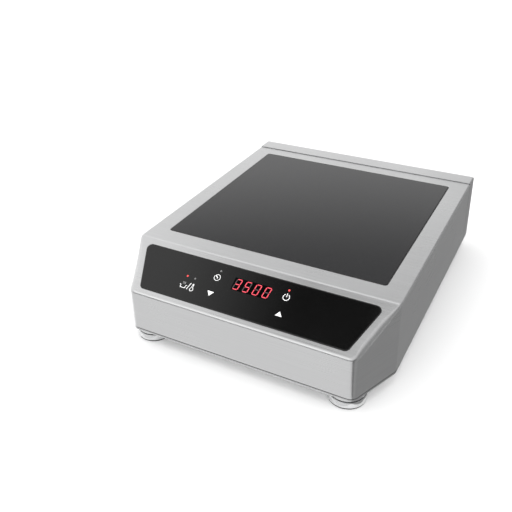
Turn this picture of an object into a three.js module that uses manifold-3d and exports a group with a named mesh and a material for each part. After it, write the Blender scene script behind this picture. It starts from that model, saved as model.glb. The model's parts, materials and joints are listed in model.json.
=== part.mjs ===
// Countertop induction hob: one cooking zone, a sloped touch panel, a stainless housing and four
// adjustable feet, with its coil, fans and electronics inside.
// Millimetres, +Z up, +X to the user's right, +Y from the control panel to the rear.
// The origin is on the standing surface, under the middle of the overall depth.

import * as THREE from 'three';
import { mergeVertices } from 'three/addons/utils/BufferGeometryUtils.js';
import Module from 'manifold-3d';

const wasm = await Module();
wasm.setup();

// ---- driving dimensions: housing ----
const WIDTH = 340;
const FRONT_WIDTH = 288; // the housing narrows to this at its front face
const DEPTH = 418; // front face to rear face
const PANEL_RUN = 65; // plan depth of the sloped panel
const DECK_HEIGHT = 109; // standing surface to the steel deck
const PANEL_FRONT_HEIGHT = 71; // standing surface to the panel's front edge
const BODY_BOTTOM = 16.5; // underside of the base tray
const SHEET = 1.2; // stainless sheet thickness
const GAP = 0.3; // clearance between neighbouring pieces
const FRONT_CORNER = 11; // radius of the two vertical front corners
const PANEL_BEND = 3; // radius of the bend between front face and panel
const SKIRT_GAP = 0.5; // between the housing's skirt and the tray
const BOTTOM_FLANGE = 13; // the housing's in-turned bottom flange
const REAR_JOINT = 391.5; // where the housing ends and the rear cover begins
const REAR_GROOVE = 1; // width of that joint
const REAR_PROUD = 1.3; // the rear cover's top stands this far above the deck
const REAR_CORNER = 3;
const LAP = 9; // the rear cover's tongue reaches this far under the housing

// ---- driving dimensions: glass ----
const GLASS_WIDTH = 288;
const GLASS_FRONT = 92;
const GLASS_REAR = 370.5;
const GLASS_THICK = 4;
const GLASS_PROUD = 0.3;
const GLASS_CORNER = 3;
const GLASS_BEVEL = 0.5;
const SEAL_WIDTH = 1.1; // black sealant fills this gap round the glass
const LEDGE = 10; // ledge that carries the glass
const PANEL_LOW = 8.7; // panel glass, measured up the slope
const PANEL_HIGH = 66.2;
const PANEL_LOW_HALF = 131.9; // half widths of the panel glass at those two edges
const PANEL_HIGH_HALF = 153.6;
const PANEL_CORNER = 5.5;
const PANEL_THICK = 3;
const PANEL_SEAL = 1;
const PANEL_LEDGE = 6;
const DISPLAY = { left: -22.65, right: 27.65, low: 36.5, high: 55.5 }; // across, and up the slope

// ---- driving dimensions: rear louvres, one row above another in each bank ----
const LOUVRE_BANKS = [-110, -32, 46]; // middle of each bank
const LOUVRE_HALF = 33;
const LOUVRE_HEIGHT = 3.4;
const LOUVRE_PITCH = 8;
const LOUVRE_ROWS = 7;
const LOUVRE_LOW = 42;

// ---- driving dimensions: feet, fans, gland, screws ----
const FOOT_X = 129;
const FOOT_INSET = 24; // foot centre to the front or rear face
const FOOT_RADIUS = 22;
const COLLAR_RADIUS = 20.7;
const STUD_RADIUS = 3.9;
const BUSH_RADIUS = 6.6;
const PAD_HEIGHT = 1.5;
const FOOT_TOP = 9.3; // top of the turning part of the foot
const FOOT_SIDES = 20;
const FAN_X = 55;
const FAN_Y = 135;
const FAN_SIZE = 92;
const FAN_DEPTH = 25;
const FAN_BLADES = 7;
const GLAND_X = 125;
const GLAND_Z = 48;
const GLAND_PROUD = 13;
const GLAND_HOLE = 8.3;
const SCREW_RADIUS = 2;
const SCREW_HOLE = 2.3;
const SCREW_HEAD = 4;

// ---- worked out from the driving dimensions ----
const half = WIDTH / 2;
const slopeAngle = Math.atan2(DECK_HEIGHT - PANEL_FRONT_HEIGHT, PANEL_RUN);
const taper = (WIDTH - FRONT_WIDTH) / 2 / PANEL_RUN;
const trayTop = BODY_BOTTOM + SHEET;
const skirt = trayTop + SKIRT_GAP;
const glassTop = DECK_HEIGHT + GLASS_PROUD;
const glassUnder = glassTop - GLASS_THICK;
const overallDepth = DEPTH + GLAND_PROUD;
const coilY = (GLASS_FRONT + GLASS_REAR) / 2;

// ---- finishes ----
const steel = { color: 0xc8c9ca, roughness: 0.36, metalness: 1 };
const turnedSteel = { color: 0xd2d3d4, roughness: 0.25, metalness: 1 };
const aluminium = { color: 0xb9bcbf, roughness: 0.45, metalness: 1 };
const blackGlass = { color: 0x08080a, roughness: 0.06, metalness: 0 };
const silicone = { color: 0x131313, roughness: 0.6, metalness: 0 };
const rubber = { color: 0x1c1c1c, roughness: 0.8, metalness: 0 };
const blackPlastic = { color: 0x17181a, roughness: 0.55, metalness: 0 };
const palePlastic = { color: 0xd9d4c4, roughness: 0.6, metalness: 0 };
const greenBoard = { color: 0x1d5a34, roughness: 0.5, metalness: 0 };
const copper = { color: 0xb0673a, roughness: 0.4, metalness: 1 };
const ferrite = { color: 0x2c2c2e, roughness: 0.7, metalness: 0 };
const mica = { color: 0xb3a988, roughness: 0.7, metalness: 0 };
const redLens = { color: 0xd01818, roughness: 0.3, metalness: 0 };
const clearLens = { color: 0x9a9a98, roughness: 0.3, metalness: 0 };
const yellowFilm = { color: 0xc8a227, roughness: 0.5, metalness: 0 };
const greyVinyl = { color: 0x8f9194, roughness: 0.6, metalness: 0 };
const redSilicone = { color: 0x9b2a1e, roughness: 0.6, metalness: 0 };

// ---- closed meshes and booleans ----

function solidOf(geometry) {
  const bare = geometry.clone();
  bare.deleteAttribute('normal');
  bare.deleteAttribute('uv');
  const merged = mergeVertices(bare);
  const corners = merged.index.array;
  const kept = [];
  for (let i = 0; i < corners.length; i += 3) {
    const [a, b, c] = corners.slice(i, i + 3);
    if (a !== b && b !== c && c !== a) kept.push(a, b, c);
  }
  return new wasm.Manifold(new wasm.Mesh({
    numProp: 3,
    vertProperties: Float32Array.from(merged.attributes.position.array),
    triVerts: Uint32Array.from(kept),
  }));
}

const asSolid = (item) => (item.isBufferGeometry ? solidOf(item) : item);
const join = (...items) => items.map(asSolid).reduce((all, next) => all.add(next));
const cut = (body, ...tools) => (
  tools.map(asSolid).reduce((left, tool) => left.subtract(tool), asSolid(body))
);
const common = (a, b) => asSolid(a).intersect(asSolid(b));

function geometryOf(solid) {
  const mesh = solid.getMesh();
  const geometry = new THREE.BufferGeometry();
  geometry.setAttribute('position', new THREE.BufferAttribute(mesh.vertProperties, 3));
  geometry.setIndex(new THREE.BufferAttribute(mesh.triVerts, 1));
  return geometry;
}

function part(parent, name, shape, finish) {
  const geometry = shape.isBufferGeometry ? shape : geometryOf(shape);
  const mesh = new THREE.Mesh(geometry, new THREE.MeshStandardMaterial(finish));
  mesh.name = name;
  parent.add(mesh);
}

// ---- shape helpers ----

// A closed outline through corners [x, y, radius]; a corner with no radius stays sharp.
function outline(corners) {
  const shape = new THREE.Shape();
  const points = corners.map(([x, y]) => new THREE.Vector2(x, y));
  corners.forEach(([x, y, radius = 0], i) => {
    if (radius === 0) {
      if (i === 0) shape.moveTo(x, y);
      else shape.lineTo(x, y);
      return;
    }
    const back = points.at(i - 1).clone().sub(points[i]).normalize();
    const ahead = points[(i + 1) % points.length].clone().sub(points[i]).normalize();
    const halfAngle = Math.acos(back.dot(ahead)) / 2;
    const reach = radius / Math.tan(halfAngle);
    const centre = back.clone().add(ahead).setLength(radius / Math.sin(halfAngle)).add(points[i]);
    const start = back.clone().setLength(reach).add(points[i]).sub(centre);
    const end = ahead.clone().setLength(reach).add(points[i]).sub(centre);
    const clockwise = back.cross(ahead) > 0;
    shape.absarc(centre.x, centre.y, radius, start.angle(), end.angle(), clockwise);
  });
  shape.closePath();
  return shape;
}

const rectangle = (x0, x1, y0, y1, r) => outline([[x0, y0, r], [x1, y0, r], [x1, y1, r], [x0, y1, r]]);

function circle(x, y, radius) {
  const path = new THREE.Shape();
  path.absarc(x, y, radius, 0, 2 * Math.PI);
  return path;
}

function withHoles(shape, ...holes) {
  shape.holes.push(...holes);
  return shape;
}

// An outline in X-Y, extruded between two heights.
function prism(shape, low, high, arcSteps = 3) {
  const geometry = new THREE.ExtrudeGeometry(shape, {
    depth: high - low,
    bevelEnabled: false,
    curveSegments: arcSteps,
  });
  return geometry.translate(0, 0, low);
}

// An outline in Y-Z, extruded across X.
function acrossX(shape, left, right) {
  const turn = new THREE.Matrix4().makeBasis(
    new THREE.Vector3(0, 1, 0),
    new THREE.Vector3(0, 0, 1),
    new THREE.Vector3(1, 0, 0),
  );
  return prism(shape, left, right).applyMatrix4(turn);
}

// An outline in X-Z, extruded from front to rear.
function alongY(shape, front, rear) {
  return prism(shape, -rear, -front).rotateX(Math.PI / 2);
}

function box(x0, x1, y0, y1, z0, z1) {
  const geometry = new THREE.BoxGeometry(x1 - x0, y1 - y0, z1 - z0);
  return geometry.translate((x0 + x1) / 2, (y0 + y1) / 2, (z0 + z1) / 2);
}

// A turned piece about the Y axis: profile points are [radius, y].
function turnedY(profile, segments = 24) {
  return new THREE.LatheGeometry(profile.map(([r, y]) => new THREE.Vector2(r, y)), segments);
}

// A round slug along the Y axis.
const slugY = (radius, front, rear, segments) => (
  turnedY([[0, front], [radius, front], [radius, rear], [0, rear]], segments)
);

// A turned piece about the Z axis: profile points are [radius, z].
const turnedZ = (profile, segments) => turnedY(profile, segments).rotateX(Math.PI / 2);

function cylinder(x, y, radius, low, high, segments = 24) {
  return turnedZ([[0, low], [radius, low], [radius, high], [0, high]], segments).translate(x, y, 0);
}

// A round lead swept through points.
function lead(points, radius, steps) {
  const sides = 6; // of the lead's section
  const section = new THREE.Shape();
  section.absarc(0, 0, radius, 0, 2 * Math.PI);
  const path = new THREE.CatmullRomCurve3(points.map(([x, y, z]) => new THREE.Vector3(x, y, z)));
  const options = { steps, extrudePath: path, bevelEnabled: false, curveSegments: sides / 2 };
  return new THREE.ExtrudeGeometry(section, options);
}

// ---- the housing's form ----

function planOutline(inset, rear) {
  const side = half - inset;
  const slant = inset * Math.hypot(1, taper);
  const front = FRONT_WIDTH / 2 + taper * inset - slant;
  const shoulder = (side - FRONT_WIDTH / 2 + slant) / taper;
  const corner = Math.max(FRONT_CORNER - inset, 1);
  return outline([
    [-front, inset, corner],
    [front, inset, corner],
    [side, shoulder],
    [side, rear],
    [-side, rear],
    [-side, shoulder],
  ]);
}

function sideOutline(inset, low, rear) {
  const rise = Math.tan(slopeAngle);
  const drop = inset / Math.cos(slopeAngle);
  const deck = DECK_HEIGHT - inset;
  const fold = (deck - PANEL_FRONT_HEIGHT + drop) / rise;
  const frontTop = PANEL_FRONT_HEIGHT + rise * inset - drop;
  return outline([
    [inset, low],
    [rear, low],
    [rear, deck],
    [fold, deck],
    [inset, frontTop, PANEL_BEND - Math.min(inset, SHEET)],
  ]);
}

function bodyBlock(inset, low, rear) {
  const sides = acrossX(sideOutline(inset, low, rear), -half - 1, half + 1);
  return common(sides, prism(planOutline(inset, rear), low, DECK_HEIGHT + 1));
}

const glassOutline = (grow) => rectangle(
  -GLASS_WIDTH / 2 - grow,
  GLASS_WIDTH / 2 + grow,
  GLASS_FRONT - grow,
  GLASS_REAR + grow,
  Math.max(GLASS_CORNER + grow, 1),
);

function panelOutline(grow) {
  const lean = (PANEL_HIGH_HALF - PANEL_LOW_HALF) / (PANEL_HIGH - PANEL_LOW);
  const slant = grow * Math.hypot(1, lean);
  const low = PANEL_LOW_HALF - lean * grow + slant;
  const high = PANEL_HIGH_HALF + lean * grow + slant;
  const corner = Math.max(PANEL_CORNER + grow, 1);
  return outline([
    [-low, PANEL_LOW - grow, corner],
    [low, PANEL_LOW - grow, corner],
    [high, PANEL_HIGH + grow, corner],
    [-high, PANEL_HIGH + grow, corner],
  ]);
}

// Places a piece drawn on the slope: X across, Y up the slope, Z out of it.
const ontoSlope = (geometry) => geometry.rotateX(slopeAngle).translate(0, 0, PANEL_FRONT_HEIGHT);

// A stepped pocket: the sheet turns down round a pane's seal, then in under the pane as a ledge.
function pocket(shell, form, seal, ledge, floor, top, place) {
  const block = place(prism(form(seal + SHEET), floor - SHEET, top));
  const well = place(prism(form(seal), floor, top + 5));
  const window = place(prism(form(-ledge), floor - SHEET - 5, floor + 1));
  return cut(join(shell, block), well, window);
}

function upperHousing(hob) {
  const outer = bodyBlock(0, skirt, REAR_JOINT);
  const inner = bodyBlock(SHEET, skirt + SHEET, REAR_JOINT + 1);
  const mouth = prism(planOutline(BOTTOM_FLANGE, REAR_JOINT + 1), skirt - 1, skirt + SHEET + 1);
  const shell = cut(outer, inner, mouth);
  const stay = (geometry) => geometry;
  const decked = pocket(shell, glassOutline, SEAL_WIDTH, LEDGE, glassUnder - GAP, DECK_HEIGHT, stay);
  const panelFloor = GLASS_PROUD - PANEL_THICK - GAP;
  const whole = pocket(decked, panelOutline, PANEL_SEAL, PANEL_LEDGE, panelFloor, 0, ontoSlope);
  part(hob, 'upper_housing', whole, steel);
}

function rearCover(hob) {
  const front = REAR_JOINT + REAR_GROOVE;
  const top = DECK_HEIGHT + REAR_PROUD;
  const tub = (inset, from) => prism(outline([
    [-half + inset, from],
    [half - inset, from],
    [half - inset, DEPTH - inset, REAR_CORNER - inset],
    [-half + inset, DEPTH - inset, REAR_CORNER - inset],
  ]), skirt - inset, top - inset);
  const tongueInset = SHEET + GAP;
  const tongueTop = DECK_HEIGHT - tongueInset;
  const tongueSide = half - tongueInset;
  const web = box(-half, half, front, front + SHEET, skirt, top);
  const tongue = box(-tongueSide, tongueSide, front - LAP, front + SHEET, skirt + 3, tongueTop);
  const throatSide = tongueSide - SHEET;
  const throat = box(-throatSide, throatSide, front - LAP - 1, front + 2, 0, tongueTop - SHEET);
  const hollow = tub(SHEET, front + SHEET);
  const shell = cut(join(tub(0, front), web), hollow);
  const rearFace = [DEPTH - 5, DEPTH + 5];
  const louvres = LOUVRE_BANKS.flatMap((x) => Array.from({ length: LOUVRE_ROWS }, (_, row) => {
    const z = LOUVRE_LOW + row * LOUVRE_PITCH;
    return box(x - LOUVRE_HALF, x + LOUVRE_HALF, ...rearFace, z, z + LOUVRE_HEIGHT);
  }));
  const glandHole = slugY(GLAND_HOLE, ...rearFace, 24).translate(GLAND_X, 0, GLAND_Z);
  const screwHoles = screwPlaces().map(([x, z]) => slugY(SCREW_HOLE, ...rearFace, 12).translate(x, 0, z));
  const cover = cut(join(shell, tongue), throat, ...louvres, ...screwHoles, glandHole);
  part(hob, 'rear_cover', cover, steel);
}

// Four screws hold the rear cover's lower edge to the tray's rear flange.
function screwPlaces() {
  const height = trayTop + 6.5;
  return [-150, -50, 50, 150].map((x) => [x, height]);
}

function rearScrews(hob) {
  const seat = DEPTH + 0.1;
  const tip = DEPTH - 9;
  const profile = [
    [0, tip],
    [SCREW_RADIUS, tip],
    [SCREW_RADIUS, seat],
    [SCREW_HEAD, seat],
    [SCREW_HEAD, seat + 1.3],
    [SCREW_HEAD - 1.2, seat + 2.2],
    [0, seat + 2.2],
  ];
  screwPlaces().forEach(([x, z], i) => {
    part(hob, `rear_screw_${i + 1}`, turnedY(profile, 12).translate(x, 0, z), turnedSteel);
  });
}

const footPlaces = [
  ['front_left', -FOOT_X, FOOT_INSET],
  ['front_right', FOOT_X, FOOT_INSET],
  ['rear_left', -FOOT_X, DEPTH - FOOT_INSET],
  ['rear_right', FOOT_X, DEPTH - FOOT_INSET],
];

const fanPlaces = [
  ['left', -FAN_X],
  ['right', FAN_X],
];

// Straight intake slots under one fan, each row split by a middle rib.
function intakeSlots(fanX) {
  const reach = FAN_SIZE / 2 - 4;
  const slotWidth = 3.4;
  const rib = 3;
  const pitch = 9;
  const rowsEachSide = 4;
  const slots = [];
  for (let row = -rowsEachSide; row <= rowsEachSide; row += 1) {
    const y = FAN_Y + row * pitch;
    const end = Math.sqrt(reach ** 2 - (row * pitch) ** 2);
    const front = y - slotWidth / 2;
    slots.push(box(fanX - end, fanX - rib, front, front + slotWidth, BODY_BOTTOM - 1, trayTop + 1));
    slots.push(box(fanX + rib, fanX + end, front, front + slotWidth, BODY_BOTTOM - 1, trayTop + 1));
  }
  return slots;
}

const BOARD = { left: -95, right: 115, front: 196, rear: 368, under: 25, thick: 1.6, holeInset: 6 };
const boardCorners = [BOARD.left + BOARD.holeInset, BOARD.right - BOARD.holeInset].flatMap((x) => (
  [BOARD.front + BOARD.holeInset, BOARD.rear - BOARD.holeInset].map((y) => [x, y])
));

function baseTray(hob) {
  const edge = planOutline(0.3, DEPTH - 0.3);
  const bushHoles = footPlaces.map(([, x, y]) => (
    cylinder(x, y, BUSH_RADIUS + 0.4, BODY_BOTTOM - 1, trayTop + 1, 16)
  ));
  const slots = fanPlaces.flatMap(([, x]) => intakeSlots(x));
  const floor = cut(prism(edge, BODY_BOTTOM, trayTop), ...bushHoles, ...slots);
  const root = trayTop - 0.5;
  const flangeRear = DEPTH - SHEET - GAP;
  const flangeSide = half - 6;
  const flange = box(-flangeSide, flangeSide, flangeRear - SHEET, flangeRear, root, trayTop + 12);
  const pillarRadius = 3.5;
  const pillars = boardCorners.map(([x, y]) => cylinder(x, y, pillarRadius, root, BOARD.under - GAP, 12));
  const holes = screwPlaces().map(([x, z]) => slugY(SCREW_HOLE, DEPTH - 8, DEPTH, 12).translate(x, 0, z));
  part(hob, 'base_tray', cut(join(floor, flange, ...pillars), ...holes), steel);
}

// ---- glass ----

function cookingGlass(hob) {
  const pane = new THREE.ExtrudeGeometry(glassOutline(0), {
    depth: GLASS_THICK - 2 * GLASS_BEVEL,
    bevelThickness: GLASS_BEVEL,
    bevelSize: GLASS_BEVEL,
    bevelOffset: -GLASS_BEVEL,
    bevelSegments: 1,
    curveSegments: 3,
  });
  part(hob, 'cooking_glass', pane.translate(0, 0, glassUnder + GLASS_BEVEL), blackGlass);
  const seal = withHoles(glassOutline(SEAL_WIDTH - 0.1), glassOutline(0.1));
  part(hob, 'glass_seal', prism(seal, glassUnder, DECK_HEIGHT + 0.1), silicone);
}

function controlPanel(hob) {
  const slope = new THREE.Group();
  slope.position.z = PANEL_FRONT_HEIGHT;
  slope.rotation.x = slopeAngle;
  hob.add(slope);

  const paneTop = GLASS_PROUD;
  const paneUnder = paneTop - PANEL_THICK;
  part(slope, 'control_glass', prism(panelOutline(0), paneUnder, paneTop), blackGlass);
  const gasket = withHoles(panelOutline(PANEL_SEAL - 0.2), panelOutline(0.2));
  part(slope, 'control_gasket', prism(gasket, paneUnder, 0.1), silicone);

  // an open plastic tray under the ledge carries the touch board on four posts
  const wall = 2;
  const trayHalf = 126;
  const trayLow = 12;
  const trayHigh = 62;
  const rim = paneUnder - GAP - SHEET - GAP;
  const floor = -18;
  const boardUnder = -13.6;
  const boardTop = -12;
  const boardHalf = 120;
  const boardInset = 2.5;
  const outside = rectangle(-trayHalf, trayHalf, trayLow, trayHigh, 3);
  const inside = rectangle(-trayHalf + wall, trayHalf - wall, trayLow + wall, trayHigh - wall, 1);
  const ribbonSlot = box(-10, 10, 30, 44, floor - 1, floor + wall + 1);
  const shell = cut(prism(outside, floor, rim), prism(inside, floor + wall, 0), ribbonSlot);
  const postInset = 6;
  const postRows = [trayLow + postInset, trayHigh - postInset];
  const posts = [trayHalf - 14, 14 - trayHalf].flatMap((x) => (
    postRows.map((s) => cylinder(x, s, 3, floor + 1, boardUnder - GAP, 12))
  ));
  part(slope, 'control_bracket', join(shell, ...posts), blackPlastic);
  const boardLow = trayLow + boardInset;
  const boardHigh = trayHigh - boardInset;
  const board = box(-boardHalf, boardHalf, boardLow, boardHigh, boardUnder, boardTop);
  part(slope, 'control_board', board, greenBoard);

  const partsLow = boardTop + GAP;
  const display = rectangle(DISPLAY.left, DISPLAY.right, DISPLAY.low, DISPLAY.high, 0.6);
  part(slope, 'display_module', prism(display, partsLow, paneUnder - 1), blackPlastic);
  const lamps = [
    ['power_led', 46.5, 56.3, redLens],
    ['timer_led', -42.3, 56.5, clearLens],
    ['pan_led', -80.2, 39.1, redLens],
    ['temperature_led', -69.3, 38.4, clearLens],
  ];
  const dome = [[0, 0], [1.7, 0], [1.7, 0.8], [1.5, 0.8], [1.5, 3.6], [1.06, 4.66], [0, 5.1]];
  for (const [name, x, s, finish] of lamps) {
    part(slope, name, turnedZ(dome, 12).translate(x, s, partsLow), finish);
  }
}

// ---- feet ----

function feet(hob) {
  const grooveTop = FOOT_TOP + 0.5;
  const bore = STUD_RADIUS + 0.4;
  const collarTop = BODY_BOTTOM - 0.1;
  const collar = [
    [bore, grooveTop],
    [COLLAR_RADIUS - 0.6, grooveTop],
    [COLLAR_RADIUS, grooveTop + 0.6],
    [COLLAR_RADIUS, collarTop],
    [BUSH_RADIUS, collarTop],
    [BUSH_RADIUS, collarTop + 8],
    [bore, collarTop + 8],
    [bore, grooveTop],
  ];
  const plugRadius = 14;
  const plugTop = PAD_HEIGHT + 2.8;
  const studTop = 34;
  const cup = [
    [0, plugTop + GAP],
    [plugRadius + 0.4, plugTop + GAP],
    [plugRadius + 0.4, PAD_HEIGHT + GAP],
    [FOOT_RADIUS - 0.5, PAD_HEIGHT + GAP],
    [FOOT_RADIUS, PAD_HEIGHT + GAP + 0.5],
    [FOOT_RADIUS, FOOT_TOP - 0.5],
    [FOOT_RADIUS - 0.5, FOOT_TOP],
    [STUD_RADIUS, FOOT_TOP],
    [STUD_RADIUS, studTop - 1],
    [STUD_RADIUS - 1, studTop],
    [0, studTop],
  ];
  const pad = [
    [0, 0],
    [FOOT_RADIUS - 0.6, 0],
    [FOOT_RADIUS - 0.6, PAD_HEIGHT],
    [plugRadius, PAD_HEIGHT],
    [plugRadius, plugTop],
    [0, plugTop],
  ];
  for (const [corner, x, y] of footPlaces) {
    const foot = new THREE.Group();
    foot.position.set(x, y, 0);
    hob.add(foot);
    part(foot, `foot_collar_${corner}`, turnedZ(collar, FOOT_SIDES), turnedSteel);
    part(foot, `foot_stud_${corner}`, turnedZ(cup, FOOT_SIDES), turnedSteel);
    part(foot, `foot_pad_${corner}`, turnedZ(pad, FOOT_SIDES), rubber);
  }
}

// ---- cable gland ----

function gland(hob) {
  const bore = 5;
  const thread = 8;
  const collar = 12;
  const threadEnd = DEPTH - 13;
  const seat = DEPTH + 0.1;
  const tip = DEPTH + GLAND_PROUD;
  const body = [
    [bore, threadEnd],
    [thread, threadEnd],
    [thread, seat],
    [collar, seat],
    [collar, seat + 4],
    [collar - 1.6, seat + 5],
    [collar - 2.4, tip - 2],
    [thread, tip],
    [bore, tip],
    [bore, threadEnd],
  ];
  part(hob, 'cable_gland', turnedY(body, 20).translate(GLAND_X, 0, GLAND_Z), blackPlastic);
  const nutRear = DEPTH - SHEET - 0.1;
  const nutFront = nutRear - 4;
  const hexagon = slugY(collar + 0.5, nutFront, nutRear, 6);
  const nut = cut(hexagon, slugY(thread + GAP, nutFront - 1, nutRear + 1, 24));
  part(hob, 'gland_nut', nut.translate(GLAND_X, 0, GLAND_Z), blackPlastic);
}

// ---- coil, under the glass ----

const COIL = {
  outer: 108,
  inner: 30,
  bridgeUnder: 86,
  bridgeTop: 87.5,
  plateUnder: 94,
  plateTop: 97,
  eye: 12, // radius of the opening for the sensor's spring
};

function coil(hob) {
  const zone = new THREE.Group();
  zone.position.y = coilY;
  hob.add(zone);

  const around = (count, offset) => (
    Array.from({ length: count }, (_, i) => offset + (i * 2 * Math.PI) / count)
  );
  const polar = (radius, angle) => [radius * Math.cos(angle), radius * Math.sin(angle)];
  const ring = (outer, inner, low, high) => (
    prism(withHoles(circle(0, 0, outer), circle(0, 0, inner)), low, high, 6)
  );
  const legLow = COIL.bridgeTop + GAP;
  const legHigh = COIL.plateUnder + 1;
  const windows = around(6, Math.PI / 6).map((a) => circle(...polar(70, a), 17));
  const disc = withHoles(circle(0, 0, COIL.outer + 4), circle(0, 0, COIL.eye), ...windows);
  const plate = prism(disc, COIL.plateUnder, COIL.plateTop, 8);
  const seat = ring(20, COIL.eye, legLow, legHigh);
  const hub = ring(COIL.inner - 2, COIL.inner - 5, COIL.plateTop - 1, COIL.plateTop + 4);
  const legs = around(3, Math.PI / 6).map((a) => cylinder(...polar(105, a), 5, legLow, legHigh, 12));
  part(zone, 'coil_former', join(plate, seat, hub, ...legs), palePlastic);

  // litz bundles lie side by side as rounded ridges
  const low = COIL.plateTop + GAP;
  const bundles = 6;
  const pitch = (COIL.outer - COIL.inner) / bundles;
  const winding = [[COIL.inner, low], [COIL.outer, low]];
  for (let turn = bundles; turn > 0; turn -= 1) {
    const edge = COIL.inner + turn * pitch;
    winding.push([edge - 0.25 * pitch, low + 5.5], [edge - 0.75 * pitch, low + 5.5]);
    winding.push([edge - pitch, low + 3.2]);
  }
  winding.push([COIL.inner, low]);
  part(zone, 'coil_winding', turnedZ(winding, 28), copper);

  around(6, 0).forEach((a, i) => {
    const bar = box(26, 98, -6, 6, COIL.bridgeTop + 0.6, COIL.plateUnder - GAP).rotateZ(a);
    part(zone, `ferrite_bar_${i + 1}`, bar, ferrite);
  });

  const sheetTop = glassUnder - 0.4;
  const sheetDisc = withHoles(circle(0, 0, COIL.outer + 4), circle(0, 0, COIL.eye));
  const sheet = prism(sheetDisc, sheetTop - 0.8, sheetTop, 8);
  part(zone, 'mica_sheet', sheet, mica);

  const sensorTop = glassUnder - GAP;
  const sensor = [
    [0, sensorTop - 7],
    [5, sensorTop - 7],
    [5, sensorTop - 3],
    [9, sensorTop - 3],
    [9, sensorTop - 0.5],
    [8.5, sensorTop],
    [0, sensorTop],
  ];
  part(zone, 'temperature_sensor', turnedZ(sensor, 16), aluminium);
  part(zone, 'sensor_spring', sensorSpring(COIL.bridgeTop + 0.6, sensorTop - 3.4), turnedSteel);
}

// A compression spring between the bridge and the sensor's cap.
function sensorSpring(low, high) {
  const wire = 0.6;
  const radius = 6.6;
  const turns = 4;
  const stepsPerTurn = 8;
  const points = [];
  for (let i = 0; i <= turns * stepsPerTurn; i += 1) {
    const angle = (i / stepsPerTurn) * 2 * Math.PI;
    const climb = i / (turns * stepsPerTurn);
    const z = THREE.MathUtils.lerp(low + wire, high - wire, climb);
    points.push([radius * Math.cos(angle), radius * Math.sin(angle), z]);
  }
  return lead(points, wire, turns * stepsPerTurn);
}

// A bent aluminium bridge over the electronics: it carries the coil and shields them from it.
function coilBridge(hob) {
  const reach = 128;
  const toe = 12;
  const thick = COIL.bridgeTop - COIL.bridgeUnder;
  const foot = trayTop + GAP;
  const sheet = outline([
    [-reach - toe, foot],
    [-reach + thick, foot],
    [-reach + thick, COIL.bridgeUnder],
    [reach - thick, COIL.bridgeUnder],
    [reach - thick, foot],
    [reach + toe, foot],
    [reach + toe, foot + thick],
    [reach, foot + thick],
    [reach, COIL.bridgeTop],
    [-reach, COIL.bridgeTop],
    [-reach, foot + thick],
    [-reach - toe, foot + thick],
  ]);
  const windows = [130, 201, 272].map((y) => box(-reach - 2, reach + 2, y, y + 60, 30, 70));
  const through = [COIL.bridgeUnder - 5, COIL.bridgeTop + 5];
  const leadHoles = leadTops().map(([x, y]) => cylinder(x, y, 7, ...through, 12));
  const eye = cylinder(0, coilY, 5, ...through, 16);
  part(hob, 'coil_bridge', cut(alongY(sheet, 106, 356), ...windows, ...leadHoles, eye), aluminium);
}

// Where the coil's two leads go down through the bridge.
function leadTops() {
  const radius = COIL.outer + 10;
  return [20, -30].map((degrees) => {
    const angle = THREE.MathUtils.degToRad(degrees);
    return [radius * Math.cos(angle), coilY + radius * Math.sin(angle)];
  });
}

// ---- fans ----

function fans(hob) {
  const low = trayTop + GAP;
  const high = low + FAN_DEPTH;
  const side = FAN_SIZE / 2;
  const bore = side - 2.5;
  const screwInset = 5;
  const strutHalf = 2;
  const strutTop = low + 2.5;
  const hubRadius = 17;
  const shaftRadius = 1.5;
  const bladeTilt = THREE.MathUtils.degToRad(38);
  const ends = [screwInset - side, side - screwInset];
  const screwHoles = ends.flatMap((x) => ends.map((y) => circle(x, y, 2.1)));
  const block = prism(withHoles(rectangle(-side, side, -side, side, 4), ...screwHoles), low, high);
  const duct = cut(block, cylinder(0, 0, bore, low - 1, high + 1, 28));
  const struts = [0, Math.PI / 2].map((a) => (
    box(-bore - 1, bore + 1, -strutHalf, strutHalf, low, strutTop).rotateZ(a)
  ));
  const motorSeat = cylinder(0, 0, hubRadius - 2, low, low + 3, 16);
  const shaftHole = cylinder(0, 0, shaftRadius + 0.4, low - 1, low + 4, 12);
  const frame = cut(join(duct, ...struts, motorSeat), shaftHole);

  const hubLow = low + 3.8;
  const hubHigh = high - 1;
  const hub = cylinder(0, 0, hubRadius, hubLow, hubHigh, 18);
  const shaft = cylinder(0, 0, shaftRadius, low + 0.4, hubLow + 1, 12);
  const sweep = cylinder(0, 0, bore - 1.3, low, high, 28);
  const blades = Array.from({ length: FAN_BLADES }, (_, i) => (
    box(hubRadius - 5, bore + 4, -11, 11, -0.9, 0.9)
      .rotateX(bladeTilt)
      .rotateZ((i * 2 * Math.PI) / FAN_BLADES)
      .translate(0, 0, (hubLow + hubHigh) / 2)
  ));
  const rotor = join(hub, shaft, common(join(...blades), sweep));

  for (const [name, x] of fanPlaces) {
    const fan = new THREE.Group();
    fan.position.set(x, FAN_Y, 0);
    hob.add(fan);
    part(fan, `fan_frame_${name}`, frame, blackPlastic);
    part(fan, `fan_rotor_${name}`, rotor, blackPlastic);
  }
}

// ---- power electronics ----

const SINK = { fins: 11, pitch: 9.6, fin: 2, base: 5, height: 36 };

function heatsinkOutline() {
  const { fins, pitch, fin, base, height } = SINK;
  const corners = [[0, 0], [(fins - 1) * pitch + fin, 0]];
  for (let i = fins - 1; i >= 0; i -= 1) {
    corners.push([i * pitch + fin, height], [i * pitch, height]);
    if (i > 0) corners.push([i * pitch, base], [(i - 1) * pitch + fin, base]);
  }
  return outline(corners);
}

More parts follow.
